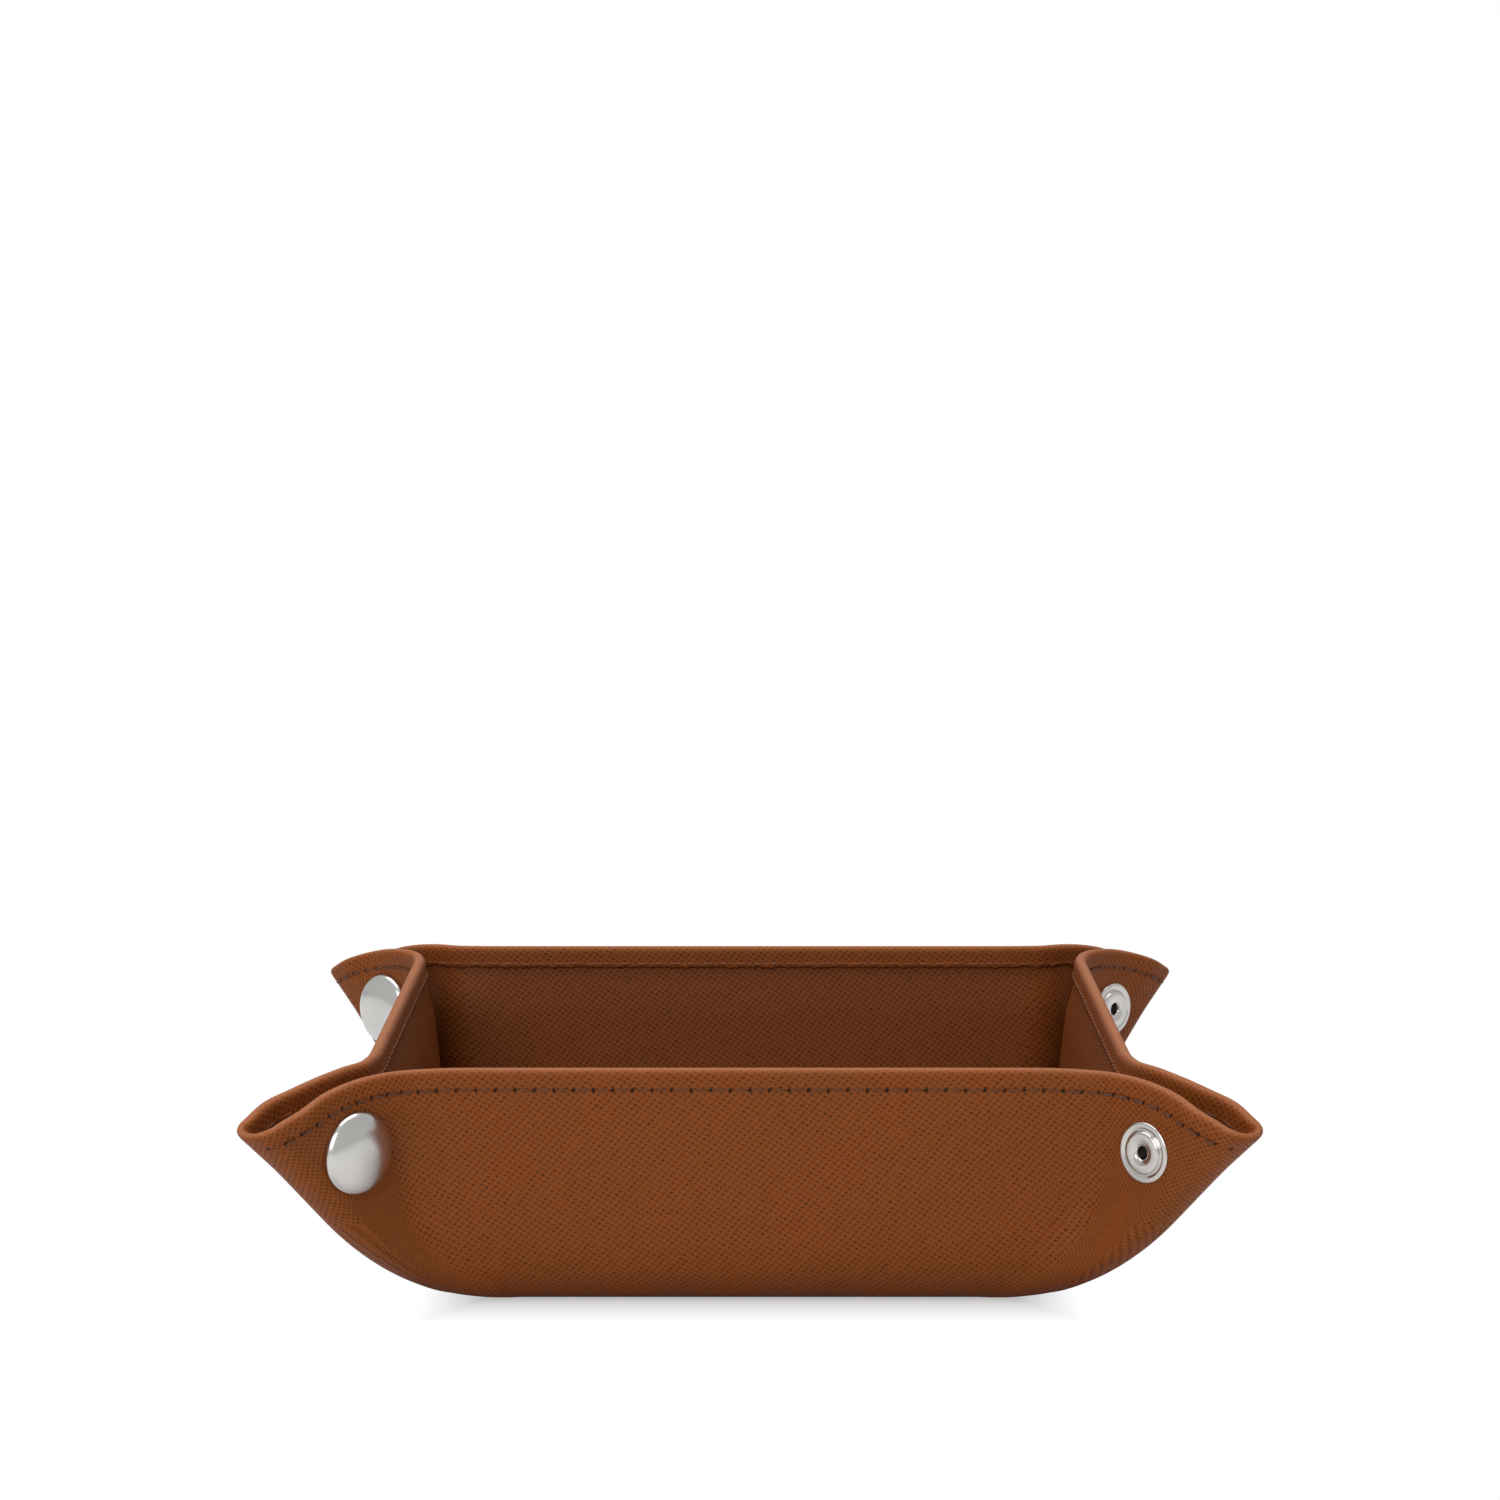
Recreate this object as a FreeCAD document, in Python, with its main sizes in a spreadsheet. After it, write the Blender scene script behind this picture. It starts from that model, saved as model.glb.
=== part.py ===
import FreeCAD, Part
import math
import os
import re
import Sketcher

# Square leather valet tray, its four corners pinched into ears by press studs.
# Millimetres and degrees. The origin is the middle of the base on the table, +Z up, front wall at -Y.
SIZES = {
    "base_half": "53",              # middle of the base to where each wall starts to bend up
    "base_corner_radius": "10",     # rounding of the flat base's corners
    "bend_radius": "13",            # outside radius of the bend between base and wall
    "wall_lean": "6.5",             # lean of the walls, outwards from upright
    "rim_height": "45.2",           # table to the rim of a wall
    "outer_thick": "1.25",          # outer leather
    "lining_thick": "1.25",         # lining leather with its backing
    "glue_line": "0.05",            # between the two layers of a soft lower corner
    "board_thick": "0.5",           # stiffening board inside the base
    "board_margin": "2",            # board's edge to the base's edge
    "ear_gap": "4.4",               # between the two linings of a pinched corner
    "ear_bend_radius": "8",         # outside radius where a wall bends into its ear
    "tip_reach": "13.4",            # cap's edge to the tip of an ear, along the diagonal
    "tip_height": "37.05",          # table to the tip of an ear
    "ridge_rise": "45",             # slope of the fold's ridge
    "bowl_ridge_height": "18",      # height of the soft lower corner at the ridge
    "bowl_wall_height": "20",       # height of the soft lower corner at the walls
    "bowl_stub": "1.5",             # straight edge between a wall and the base's rounded corner
    "hinge_step": "1",              # base's edge inside the start of the bend
    "hinge_slant": "0.4",           # inward slope of the base's and the walls' lower edges
    "seam_gap": "0.3",              # between the sheet's panels
    "snap_reach": "1",              # bend out of the wall to a cap's edge, along the diagonal
    "snap_height": "31.7",          # table to a press stud
    "barrel_radius": "1.95",        # rivet barrels of cap and post
    "barrel_clearance": "0.05",     # round the barrels
    "cap_radius": "7.5",
    "cap_seat_radius": "5.5",       # flat underside of the cap on the leather
    "cap_edge": "0.6",              # height of the cap's rolled edge above the leather
    "cap_height": "3",
    "socket_radius": "6",
    "socket_flange": "0.8",
    "socket_body_radius": "4.6",
    "socket_height": "3.4",
    "socket_mouth_radius": "3.2",
    "socket_floor": "0.6",
    "stud_radius": "5.5",
    "stud_flange": "0.5",
    "stud_neck_radius": "2.35",
    "stud_ball_radius": "2.75",
    "stud_height": "3.3",
    "stud_crown": "1.5",            # solid top of the stud above the post's barrel
    "post_radius": "5.5",
    "post_flange": "0.6",
    "post_ring_radius": "3.9",
    "post_ring_height": "1.1",
    "post_hole_radius": "1.6",
}
SIDES = ("front", "right", "back", "left")
CORNERS = ("front_right", "back_right", "back_left", "front_left")

# Sizes that follow from the driving ones, as expressions.
SHEET_THICK = "(outer_thick + lining_thick)"
TURN = "(90 - wall_lean)"
BEND_OUT = f"(base_half + bend_radius * sin({TURN}))"
BEND_TOP = f"(bend_radius * (1 - cos({TURN})))"
BASE_EDGE = "(base_half - hinge_step)"
EAR_OUT = f"(ear_gap / 2 + {SHEET_THICK})"
EAR_BEND_RUN = "(ear_bend_radius * tan(22.5))"
BASE_STRAIGHT = "(base_half - base_corner_radius - bowl_stub)"


def wall_out(height):
    """Outer face of a wall's straight part, from the middle of the tray."""
    return f"({BEND_OUT} + ({height} - {BEND_TOP}) * tan(wall_lean))"


def ear_start(height):
    """Where the outer faces of a wall and its ear would cross, along the diagonal."""
    return f"({wall_out(height)} * sqrt(2) - {EAR_OUT})"


def wall_end(height):
    """Half of a wall's straight width, up to the bend into the ear."""
    return f"({wall_out(height)} - {EAR_OUT} * sqrt(2) - {EAR_BEND_RUN})"


# From the middle of the tray along a diagonal: the press stud past the bend out of the wall, then the tip.
SNAP_REACH = f"({ear_start('snap_height')} + {EAR_BEND_RUN} + snap_reach + cap_radius)"
TIP_REACH = f"({SNAP_REACH} + cap_radius + tip_reach)"
RIDGE_SLOPE = "tan(ridge_rise)"
BOWL_RIDGE_REACH = f"({TIP_REACH} - (tip_height - bowl_ridge_height) / {RIDGE_SLOPE})"
BOWL_RUN = f"({BOWL_RIDGE_REACH} - {ear_start('bowl_wall_height')})"
BOWL_SLOPE = f"((bowl_wall_height - bowl_ridge_height) / {BOWL_RUN})"
# The rim of an ear leaves the wall's rim level and falls in an arc to the tip.
RIM_CORNER = ear_start("rim_height")
RIM_RUN = f"({TIP_REACH} - {RIM_CORNER})"
RIM_DROP = "(rim_height - tip_height)"
RIM_RADIUS = f"(({RIM_RUN}^2 + {RIM_DROP}^2) / (2 * {RIM_DROP}))"


def ridge_height(reach):
    """Height of the fold's outer ridge at a distance along the diagonal."""
    return f"(tip_height - ({TIP_REACH} - ({reach})) * {RIDGE_SLOPE})"


def ear_rim_height(reach):
    """Rim of an ear at a distance along the diagonal."""
    return f"(rim_height - {RIM_RADIUS} + sqrt({RIM_RADIUS}^2 - (({reach}) - {RIM_CORNER})^2))"


def rim_crossing(rise):
    """Where a line that runs a rise above the ridge meets the rim, along the diagonal."""
    start = f"({ridge_height(RIM_CORNER)} + ({rise}) - rim_height + {RIM_RADIUS})"
    spread = f"(1 + {RIDGE_SLOPE}^2)"
    return (f"({RIM_CORNER} + (sqrt({RIM_RADIUS}^2 * {spread} - {start}^2)"
            f" - {start} * {RIDGE_SLOPE}) / {spread})")


def bowl_height(reach):
    """Upper edge of the soft lower corner at a distance along the diagonal."""
    return f"(bowl_ridge_height + ({BOWL_RIDGE_REACH} - ({reach})) * {BOWL_SLOPE})"


# The document, its sheet of sizes and the helpers that draw from it.
doc = FreeCAD.newDocument("ValetTray")
sheet = doc.addObject("Spreadsheet::Sheet", "Sizes")
for row, (alias, number) in enumerate(SIZES.items(), start=1):
    sheet.set(f"A{row}", alias)
    sheet.set(f"B{row}", number)
    sheet.setAlias(f"B{row}", alias)
doc.recompute()
sub_parts = []


def bound(text):
    """An expression with its sizes named through the sheet."""
    return re.sub(r"[a-z_]+", lambda word: sheet_name(word.group()), str(text))


def sheet_name(word):
    """A size's name in the sheet, and any other word as it is."""
    return f"Sizes.{word}" if word in SIZES else word


def value(text):
    """The number that an expression of sizes stands for."""
    return float(sheet.evalExpression(bound(text)))


def origin_plane(body, role):
    """One of a body's own origin planes."""
    return next(plane for plane in body.Origin.OriginFeatures if plane.Role == role)


def new_body(label):
    """A sub-part made of sketched features."""
    body = doc.addObject("PartDesign::Body", label)
    body.Label = label
    sub_parts.append(body)
    return body


def new_sketch(body, role):
    """An empty sketch on one of a body's origin planes."""
    sketch = body.newObject("Sketcher::SketchObject", f"{body.Name}_sketch")
    sketch.AttachmentSupport = (origin_plane(body, role), [""])
    sketch.MapMode = "FlatFace"
    return sketch


def hold(sketch, kind, places, text):
    """A dimension of a sketch, bound to an expression of sizes."""
    index = sketch.addConstraint(Sketcher.Constraint(kind, *places, value(text)))
    sketch.setExpression(f"Constraints[{index}]", bound(text))


def pin_point(sketch, edge, end, across, up):
    """Ties a point of a sketch to two expressions, or to an axis where one is zero."""
    if across == "0":
        sketch.addConstraint(Sketcher.Constraint("PointOnObject", edge, end, -2))
    else:
        hold(sketch, "DistanceX", (-1, 1, edge, end), across)
    if up == "0":
        sketch.addConstraint(Sketcher.Constraint("PointOnObject", edge, end, -1))
    else:
        hold(sketch, "DistanceY", (-1, 1, edge, end), up)


def arc_between(start, finish, radius):
    """The arc of under a half turn from start to finish, clockwise if its radius is negative."""
    chord = finish - start
    side = FreeCAD.Vector(-chord.y, chord.x, 0).normalize()
    inset = math.sqrt(max(radius * radius - chord.Length ** 2 / 4, 0))
    centre = (start + finish) * 0.5 + side * math.copysign(inset, radius)
    first, last = (start, finish) if radius > 0 else (finish, start)
    angles = [math.atan2(point.y - centre.y, point.x - centre.x) for point in (first, last)]
    circle = Part.Circle(centre, FreeCAD.Vector(0, 0, 1), abs(radius))
    return Part.ArcOfCircle(circle, angles[0], angles[1])


def add_loop(sketch, corners):
    """A closed loop of lines and arcs. A corner is (across, up), with a radius where an arc leaves it."""
    points = [FreeCAD.Vector(value(corner[0]), value(corner[1]), 0) for corner in corners]
    ends = []
    for index, corner in enumerate(corners):
        start = points[index]
        finish = points[(index + 1) % len(points)]
        if len(corner) == 2:
            edge = sketch.addGeometry(Part.LineSegment(start, finish))
            ends.append((edge, 1, 2))
        else:
            radius = value(corner[2])
            edge = sketch.addGeometry(arc_between(start, finish, radius))
            ends.append((edge, 1, 2) if radius > 0 else (edge, 2, 1))
    for index, (edge, first, last) in enumerate(ends):
        following, following_first, _ = ends[(index + 1) % len(ends)]
        sketch.addConstraint(Sketcher.Constraint("Coincident", edge, last, following, following_first))
        pin_point(sketch, edge, first, corners[index][0], corners[index][1])
        if len(corners[index]) == 3:
            size = corners[index][2]
            hold(sketch, "Radius", (edge,), size if value(size) > 0 else f"-({size})")


def add_circle(sketch, across, up, radius):
    """A circle at a point of a sketch."""
    centre = FreeCAD.Vector(value(across), value(up), 0)
    edge = sketch.addGeometry(Part.Circle(centre, FreeCAD.Vector(0, 0, 1), value(radius)))
    pin_point(sketch, edge, 3, across, up)
    hold(sketch, "Radius", (edge,), radius)


def pad(body, sketch, length, symmetric=False):
    """Material along a sketch's normal."""
    feature = body.newObject("PartDesign::Pad", f"{body.Name}_pad")
    feature.Profile = sketch
    feature.setExpression("Length", bound(length))
    if symmetric:
        feature.SideType = "Symmetric"
    return feature


def cut_through(body, sketch, length):
    """Material taken away on both sides of a sketch."""
    feature = body.newObject("PartDesign::Pocket", f"{body.Name}_pocket")
    feature.Profile = sketch
    feature.SideType = "Symmetric"
    feature.setExpression("Length", bound(length))


def turned(degrees):
    """A placement turned about the tray's upright axis."""
    return FreeCAD.Placement(FreeCAD.Vector(), FreeCAD.Rotation(FreeCAD.Vector(0, 0, 1), degrees))


def rounded_square(half, radius):
    """Corners of a square with rounded corners, as a loop for a sketch."""
    straight = f"({half} - {radius})"
    return [
        (straight, f"-{half}", radius), (half, f"-{straight}"),
        (half, straight, radius), (straight, half),
        (f"-{straight}", half, radius), (f"-{half}", straight),
        (f"-{half}", f"-{straight}", radius), (f"-{straight}", f"-{half}"),
    ]


def base_layer(label, bottom, thick, margin="0"):
    """One flat layer of the base. Its edge keeps to the slanted lower edges of the walls."""
    body = new_body(label)
    sketch = new_sketch(body, "XY_Plane")
    half = f"({BASE_EDGE} - hinge_slant * ({bottom} + {thick}) - {margin})"
    radius = f"(base_corner_radius - hinge_step - {margin})"
    add_loop(sketch, rounded_square(half, radius))
    pad(body, sketch, thick)
    body.setExpression("Placement.Base.z", bound(bottom))


def wall_layer(label, degrees, near, thick):
    """One layer of a wall: the bend out of the base and the straight part, between its two ends."""
    body = new_body(label)
    far = f"({near} + {thick})"
    section = new_sketch(body, "YZ_Plane")
    add_loop(section, wall_section(near, far))
    pad(body, section, f"2 * {wall_end('rim_height')} + 2 * bend_radius", symmetric=True)
    ends = new_sketch(body, "XZ_Plane")
    for side in ("", "-"):
        add_loop(ends, wall_end_cut(side))
    cut_through(body, ends, f"4 * {wall_out('rim_height')}")
    body.Placement = turned(degrees)


def wall_section(near, far):
    """Upright section of a wall's layer, from its lower edge round the bend to the rim."""
    def foot(depth):
        return f"-({BASE_EDGE} + seam_gap - hinge_slant * {depth})", depth

    def bend_end(depth):
        return (f"-({BEND_OUT} - {depth} * sin({TURN}))", f"({BEND_TOP} + {depth} * cos({TURN}))")

    def rim(depth):
        return f"-({wall_out('rim_height')} - {depth} / cos(wall_lean))", "rim_height"

    return [
        foot(near), ("-base_half", near, f"-(bend_radius - {near})"), bend_end(near), rim(near),
        rim(far), bend_end(far) + (f"bend_radius - {far}",), ("-base_half", far), foot(far),
    ]


def wall_end_cut(side):
    """What is cut off one end of a wall, seen from the front."""
    beyond = f"({wall_end('rim_height')} + 2 * bend_radius)"
    below = "(-bend_radius)"
    above = "(rim_height + bend_radius)"
    kink = f"({wall_end('bowl_wall_height')} - seam_gap)"
    lower_slope = f"(({wall_end('bowl_wall_height')} - {BASE_STRAIGHT}) / bowl_wall_height)"
    return [
        (f"{side}({BASE_STRAIGHT} - seam_gap + {below} * {lower_slope})", below),
        (f"{side}{kink}", "bowl_wall_height"),
        (f"{side}({wall_end(above)} - seam_gap)", above),
        (f"{side}{beyond}", above),
        (f"{side}{beyond}", below),
    ]


def ear_layer(label, degrees, side, near, thick):
    """One layer of an ear, in its corner's frame: X along the diagonal, the cap's ear at +Y."""
    body = new_body(label)
    section = new_sketch(body, "XY_Plane")
    add_loop(section, ear_section(side, near, f"({near} + {thick})"))
    prism = pad(body, section, "rim_height + bend_radius")
    slant_along(prism, FreeCAD.Vector(math.sqrt(2) * math.tan(math.radians(value("wall_lean"))), 0, 1))
    trim = new_sketch(body, "XZ_Plane")
    add_loop(trim, ear_frame())
    add_loop(trim, ear_outline())
    add_circle(trim, SNAP_REACH, "snap_height", "barrel_radius + barrel_clearance")
    cut_through(body, trim, f"4 * {TIP_REACH}")
    body.Placement = turned(degrees)


def slant_along(feature, way):
    """Pads a sketch along a slanting direction, with its length still measured square to the sketch."""
    feature.UseCustomVector = True
    feature.Direction = way
    feature.AlongSketchNormal = True


def ear_section(side, near, far):
    """Level section of an ear's layer at the table: the bend out of the wall, then the flat."""
    sign = "" if side > 0 else "-"
    bend_sign = "-" if side > 0 else ""
    crossing = ear_start("0")
    bend_far = f"({crossing} + {EAR_BEND_RUN})"

    def bend_start(depth):
        radius = f"(ear_bend_radius + {depth})"
        return (f"({bend_far} - {radius} * sin(45))",
                f"{sign}({EAR_OUT} + ear_bend_radius - {radius} * cos(45))")

    def flat_start(depth):
        return bend_far, f"{sign}({EAR_OUT} - {depth})"

    out_radius = f"{'' if side > 0 else '-'}(ear_bend_radius + {near})"
    in_radius = f"{bend_sign}(ear_bend_radius + {far})"
    return [
        bend_start(near) + (out_radius,), flat_start(near), (TIP_REACH, f"{sign}({EAR_OUT} - {near})"),
        (TIP_REACH, f"{sign}({EAR_OUT} - {far})"), flat_start(far) + (in_radius,), bend_start(far),
    ]


def ear_frame():
    """A frame well outside an ear, in the plane of the diagonal."""
    low = f"({ear_start('0')} - 2 * bend_radius)"
    high = f"({TIP_REACH} + 2 * bend_radius)"
    top = "(rim_height + 2 * bend_radius)"
    return [(low, "-bend_radius"), (high, "-bend_radius"), (high, top), (low, top)]


def ear_outline():
    """Outline of an ear in the plane of the diagonal: rim, fold line, and the edge above the soft corner."""
    inner = f"({ear_start('0')} - bend_radius)"
    fold_rise = f"({EAR_OUT} + seam_gap * sqrt(2))"
    rim_reach = rim_crossing(fold_rise)
    foot_reach = f"({BOWL_RIDGE_REACH} - ({fold_rise} - seam_gap / 2) / ({RIDGE_SLOPE} + {BOWL_SLOPE}))"
    return [
        (inner, "rim_height"), (inner, f"({bowl_height(inner)} + seam_gap / 2)"),
        (foot_reach, f"({bowl_height(foot_reach)} + seam_gap / 2)"),
        (rim_reach, ear_rim_height(rim_reach), RIM_RADIUS), (RIM_CORNER, "rim_height"),
    ]


def fold_layer(label, degrees, near, thick):
    """One layer of the fold that joins two ears: half a tube along the rising ridge."""
    body = new_body(label)
    start = f"({BOWL_RIDGE_REACH} - 2 * {EAR_OUT})"
    centre = f"({ridge_height(start)} + {EAR_OUT})"
    large = f"({EAR_OUT} - {near})"
    small = f"({large} - {thick})"
    section = new_sketch(body, "YZ_Plane")
    add_loop(section, [
        (f"-{large}", centre, large), ("0", f"({centre} - {large})", large), (large, centre),
        (small, centre, f"-{small}"), ("0", f"({centre} - {small})", f"-{small}"), (f"-{small}", centre),
    ])
    section.setExpression("AttachmentOffset.Base.z", bound(start))
    tube = pad(body, section, f"{TIP_REACH} + {EAR_OUT} - {start}")
    slant_along(tube, FreeCAD.Vector(1, 0, math.tan(math.radians(value("ridge_rise")))))
    trim = new_sketch(body, "XZ_Plane")
    add_loop(trim, below_fold())
    add_loop(trim, above_fold())
    cut_through(body, trim, f"4 * {TIP_REACH}")
    body.Placement = turned(degrees)


def below_fold():
    """What is cut off the fold below, along the soft corner's upper edge."""
    low = f"({ear_start('0')} - 2 * bend_radius)"
    high = f"({TIP_REACH} + 2 * bend_radius)"
    floor = "(-2 * bend_radius)"
    return [
        (low, f"({bowl_height(low)} + seam_gap / 2)"), (low, floor),
        (high, floor), (high, f"({bowl_height(high)} + seam_gap / 2)"),
    ]


def above_fold():
    """What is cut off the fold above, along the falling rim."""
    low = f"({RIM_CORNER} - 2 * bend_radius)"
    high = f"({TIP_REACH} + 2 * bend_radius)"
    top = "(rim_height + 2 * bend_radius)"
    return [
        (low, "rim_height"), (RIM_CORNER, "rim_height", f"-{RIM_RADIUS}"), (TIP_REACH, "tip_height"),
        (high, "tip_height"), (high, top), (low, top),
    ]


# The soft lower corner: a patch that leaves the base flat and meets the walls and the ridge above.
# It leaves and arrives the more strongly, the longer it keeps its direction, as a multiple of its way.
ROWS = 9
COLUMNS = 25
WALL_LEAVING = 1.25
WALL_ARRIVING = 1.45
RIDGE_LEAVING = 0.55
RIDGE_ARRIVING = 0.57


def smooth(share):
    """An eased share, flat at 0 and 1."""
    return share * share * (3 - 2 * share)


def corner_edges(share):
    """Lower and upper edge of the patch at +Y, and the way inwards above, for a share from wall to ridge."""
    foot_half = value("base_half - hinge_step + seam_gap")
    radius = value("base_corner_radius - hinge_step + seam_gap")
    stub = value("bowl_stub")
    lower = foot_point(share * (stub + radius * math.pi / 4), foot_half, radius, stub)
    bend = value("ear_bend_radius")
    out = value(EAR_OUT)
    bend_length = bend * math.pi / 4
    tube_length = out * math.pi / 2
    bend_far = value(f"{ear_start('bowl_wall_height')} + {EAR_BEND_RUN}")
    ridge = value(BOWL_RIDGE_REACH)
    tube_start = ridge - out / (value(RIDGE_SLOPE) + value(BOWL_SLOPE))
    flat_length = tube_start - bend_far
    along = share * (bend_length + flat_length + tube_length)
    if along < bend_length:
        angle = math.pi / 4 - along / bend
        reach = bend_far - bend * math.sin(angle)
        across = out + bend - bend * math.cos(angle)
        slant = math.sqrt(2) * math.tan(math.radians(value("wall_lean")))
        inward = FreeCAD.Vector(-math.sin(angle), -math.cos(angle), slant * math.sin(angle))
    elif along < bend_length + flat_length:
        reach = bend_far + along - bend_length
        across = out
        inward = FreeCAD.Vector(0, -1, 0)
    else:
        angle = math.pi / 2 - (along - bend_length - flat_length) / out
        drop = out * (1 - math.cos(angle))
        reach = ridge - drop / (value(RIDGE_SLOPE) + value(BOWL_SLOPE))
        across = out * math.sin(angle)
        inward = FreeCAD.Vector(0, -math.sin(angle), math.cos(angle))
    upper = FreeCAD.Vector(reach, across, value(bowl_height(reach)))
    return lower, upper, inward


def foot_point(along, foot_half, radius, stub):
    """A point of the patch's lower edge and the level direction away from the base there."""
    centre = math.sqrt(2) * (foot_half - radius)
    if along < stub:
        outward = FreeCAD.Vector(1, 1, 0).normalize()
        back = FreeCAD.Vector(-1, 1, 0).normalize() * (stub - along)
        return FreeCAD.Vector(centre, 0, 0) + outward * radius + back, outward
    angle = math.pi / 4 - (along - stub) / radius
    outward = FreeCAD.Vector(math.cos(angle), math.sin(angle), 0)
    return FreeCAD.Vector(centre, 0, 0) + outward * radius, outward


def corner_point(share, climb):
    """A point of the patch's outer face: share runs from the wall to the ridge, climb from base to top."""
    (foot, outward), top, _ = corner_edges(share)
    lean = math.radians(value("wall_lean"))
    rise = math.radians(value("ridge_rise"))
    wall_way = FreeCAD.Vector(math.sin(lean) / math.sqrt(2), math.sin(lean) / math.sqrt(2), math.cos(lean))
    ridge_way = FreeCAD.Vector(math.cos(rise), 0, math.sin(rise))
    arrival = (wall_way * (1 - smooth(share)) + ridge_way * smooth(share)).normalize()
    turn = math.radians(value(TURN))
    wall_way_up = turn * value("bend_radius") + value(f"bowl_wall_height - {BEND_TOP}") / math.cos(lean)
    ridge_way_up = value(f"{BOWL_RIDGE_REACH} - sqrt(2) * base_half + (sqrt(2) - 1) * base_corner_radius")
    eased = smooth(share)
    pull = wall_way_up * WALL_LEAVING * (1 - eased) + ridge_way_up * RIDGE_LEAVING * eased
    push = wall_way_up * WALL_ARRIVING * (1 - eased) + ridge_way_up * RIDGE_ARRIVING * eased
    keep = 1 - smooth(climb)
    leave = climb * (1 - climb) ** 2
    arrive = climb * climb * (climb - 1)
    return foot * keep + outward * (pull * leave) + top * (1 - keep) + arrival * (push * arrive)


def corner_inward(share, climb):
    """The direction from the patch's outer face to its inner face: up at the base, inwards at the top."""
    _, _, inward = corner_edges(share)
    upward = FreeCAD.Vector(0, 0, 1)
    return (upward * (1 - smooth(climb)) + inward * smooth(climb)).normalize()


def corner_row(climb, depth):
    """A row of points across the patch at one depth, from the wall at +Y to the wall at -Y."""
    half = []
    for column in range(COLUMNS // 2 + 1):
        share = column / (COLUMNS // 2)
        point = corner_point(share, climb) + corner_inward(share, climb) * depth
        half.append(point + wall_slide(climb, depth) * (1 - share) ** 2)
    mirrored = [FreeCAD.Vector(point.x, -point.y, point.z) for point in reversed(half[:-1])]
    return half + mirrored


def wall_slide(climb, depth):
    """How far the patch's side slides along the wall, so that it follows the wall's slanted end."""
    side = corner_point(0, climb) + corner_inward(0, climb) * depth
    low = value(BASE_STRAIGHT)
    high = value(wall_end("bowl_wall_height"))
    wanted = low + (high - low) * side.z / value("bowl_wall_height")
    now = (side.x - side.y) / math.sqrt(2)
    return FreeCAD.Vector(1, -1, 0).normalize() * (wanted - now)


def patch(rows):
    """A smooth face through rows of points."""
    surface = Part.BSplineSurface()
    surface.interpolate(rows)
    return surface.toShape()


def skin_between(outside, inside):
    """A closed solid between two faces made from like rows of points."""
    faces = [patch(outside), patch(inside)]
    for first, second in zip(border_edges(faces[0]), border_edges(faces[1])):
        faces.append(Part.makeRuledSurface(first, second))
    shell = Part.makeShell(faces)
    shell.sewShape()
    solid = Part.makeSolid(shell)
    if solid.Volume < 0:
        solid.reverse()
    return solid


def border_edges(face):
    """The four border edges of a patch, in the same order on every patch."""
    surface = face.Surface
    first, last, low, high = surface.bounds()
    borders = [surface.uIso(first), surface.uIso(last), surface.vIso(low), surface.vIso(high)]
    return [border.toShape() for border in borders]


def above_bowl():
    """A block over the soft corner, whose underside trims the corner's upper edge."""
    side = value(TIP_REACH)
    block = Part.makeBox(2 * side, 2 * side, side, FreeCAD.Vector(-side, -side, 0))
    slope = math.degrees(math.atan(value(BOWL_SLOPE)))
    block.rotate(FreeCAD.Vector(), FreeCAD.Vector(0, 1, 0), slope)
    block.translate(FreeCAD.Vector(value(BOWL_RIDGE_REACH), 0, value("bowl_ridge_height - seam_gap / 2")))
    return block


def bowl_layer(label, degrees, near, thick):
    """One layer of the soft lower corner between two walls."""
    near_depth = value(near)
    far_depth = value(f"{near} + {thick} - glue_line")
    climbs = [row / (ROWS - 1) for row in range(ROWS)]
    outside = [corner_row(climb, near_depth) for climb in climbs]
    inside = [corner_row(climb, far_depth) for climb in climbs]
    corner = doc.addObject("Part::Feature", label)
    corner.Label = label
    corner.Shape = skin_between(outside, inside).cut(above_bowl())
    corner.Placement = turned(degrees)
    sub_parts.append(corner)


def turned_piece(label, degrees, profile):
    """A round piece of a press stud, turned about the stud's axis, which runs level across the diagonal."""
    body = new_body(label)
    sketch = new_sketch(body, "XZ_Plane")
    add_loop(sketch, profile)
    feature = body.newObject("PartDesign::Revolution", f"{body.Name}_turning")
    feature.Profile = sketch
    feature.ReferenceAxis = (sketch, ["V_Axis"])
    feature.Angle = 360
    level = FreeCAD.Rotation(FreeCAD.Vector(1, 0, 0), -90)
    body.Placement = FreeCAD.Placement(FreeCAD.Vector(), turned(degrees).Rotation.multiply(level))
    body.setExpression("Placement.Base.x", bound(f"{SNAP_REACH} * cos({degrees})"))
    body.setExpression("Placement.Base.y", bound(f"{SNAP_REACH} * sin({degrees})"))
    body.setExpression("Placement.Base.z", bound("snap_height"))


LINING_FACE = "(ear_gap / 2)"
BARREL_HOLE = "(barrel_radius + barrel_clearance)"


def cap_profile():
    """Domed cap on an ear's outer face, with the barrel that holds the socket behind it."""
    edge = f"({EAR_OUT} + cap_edge)"
    dome_rise = "(cap_height - 1.5 * cap_edge)"
    dome_radius = f"((cap_radius * cap_radius + {dome_rise} * {dome_rise}) / (2 * {dome_rise}))"
    return [
        ("0", f"({LINING_FACE} - socket_floor)"), ("barrel_radius", f"({LINING_FACE} - socket_floor)"),
        ("barrel_radius", EAR_OUT), ("cap_seat_radius", EAR_OUT),
        ("(cap_radius - cap_edge / 2)", f"({EAR_OUT} + cap_edge / 2)"), ("cap_radius", edge),
        ("cap_radius", f"({edge} + cap_edge / 2)", dome_radius), ("0", f"({EAR_OUT} + cap_height)"),
    ]


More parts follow.
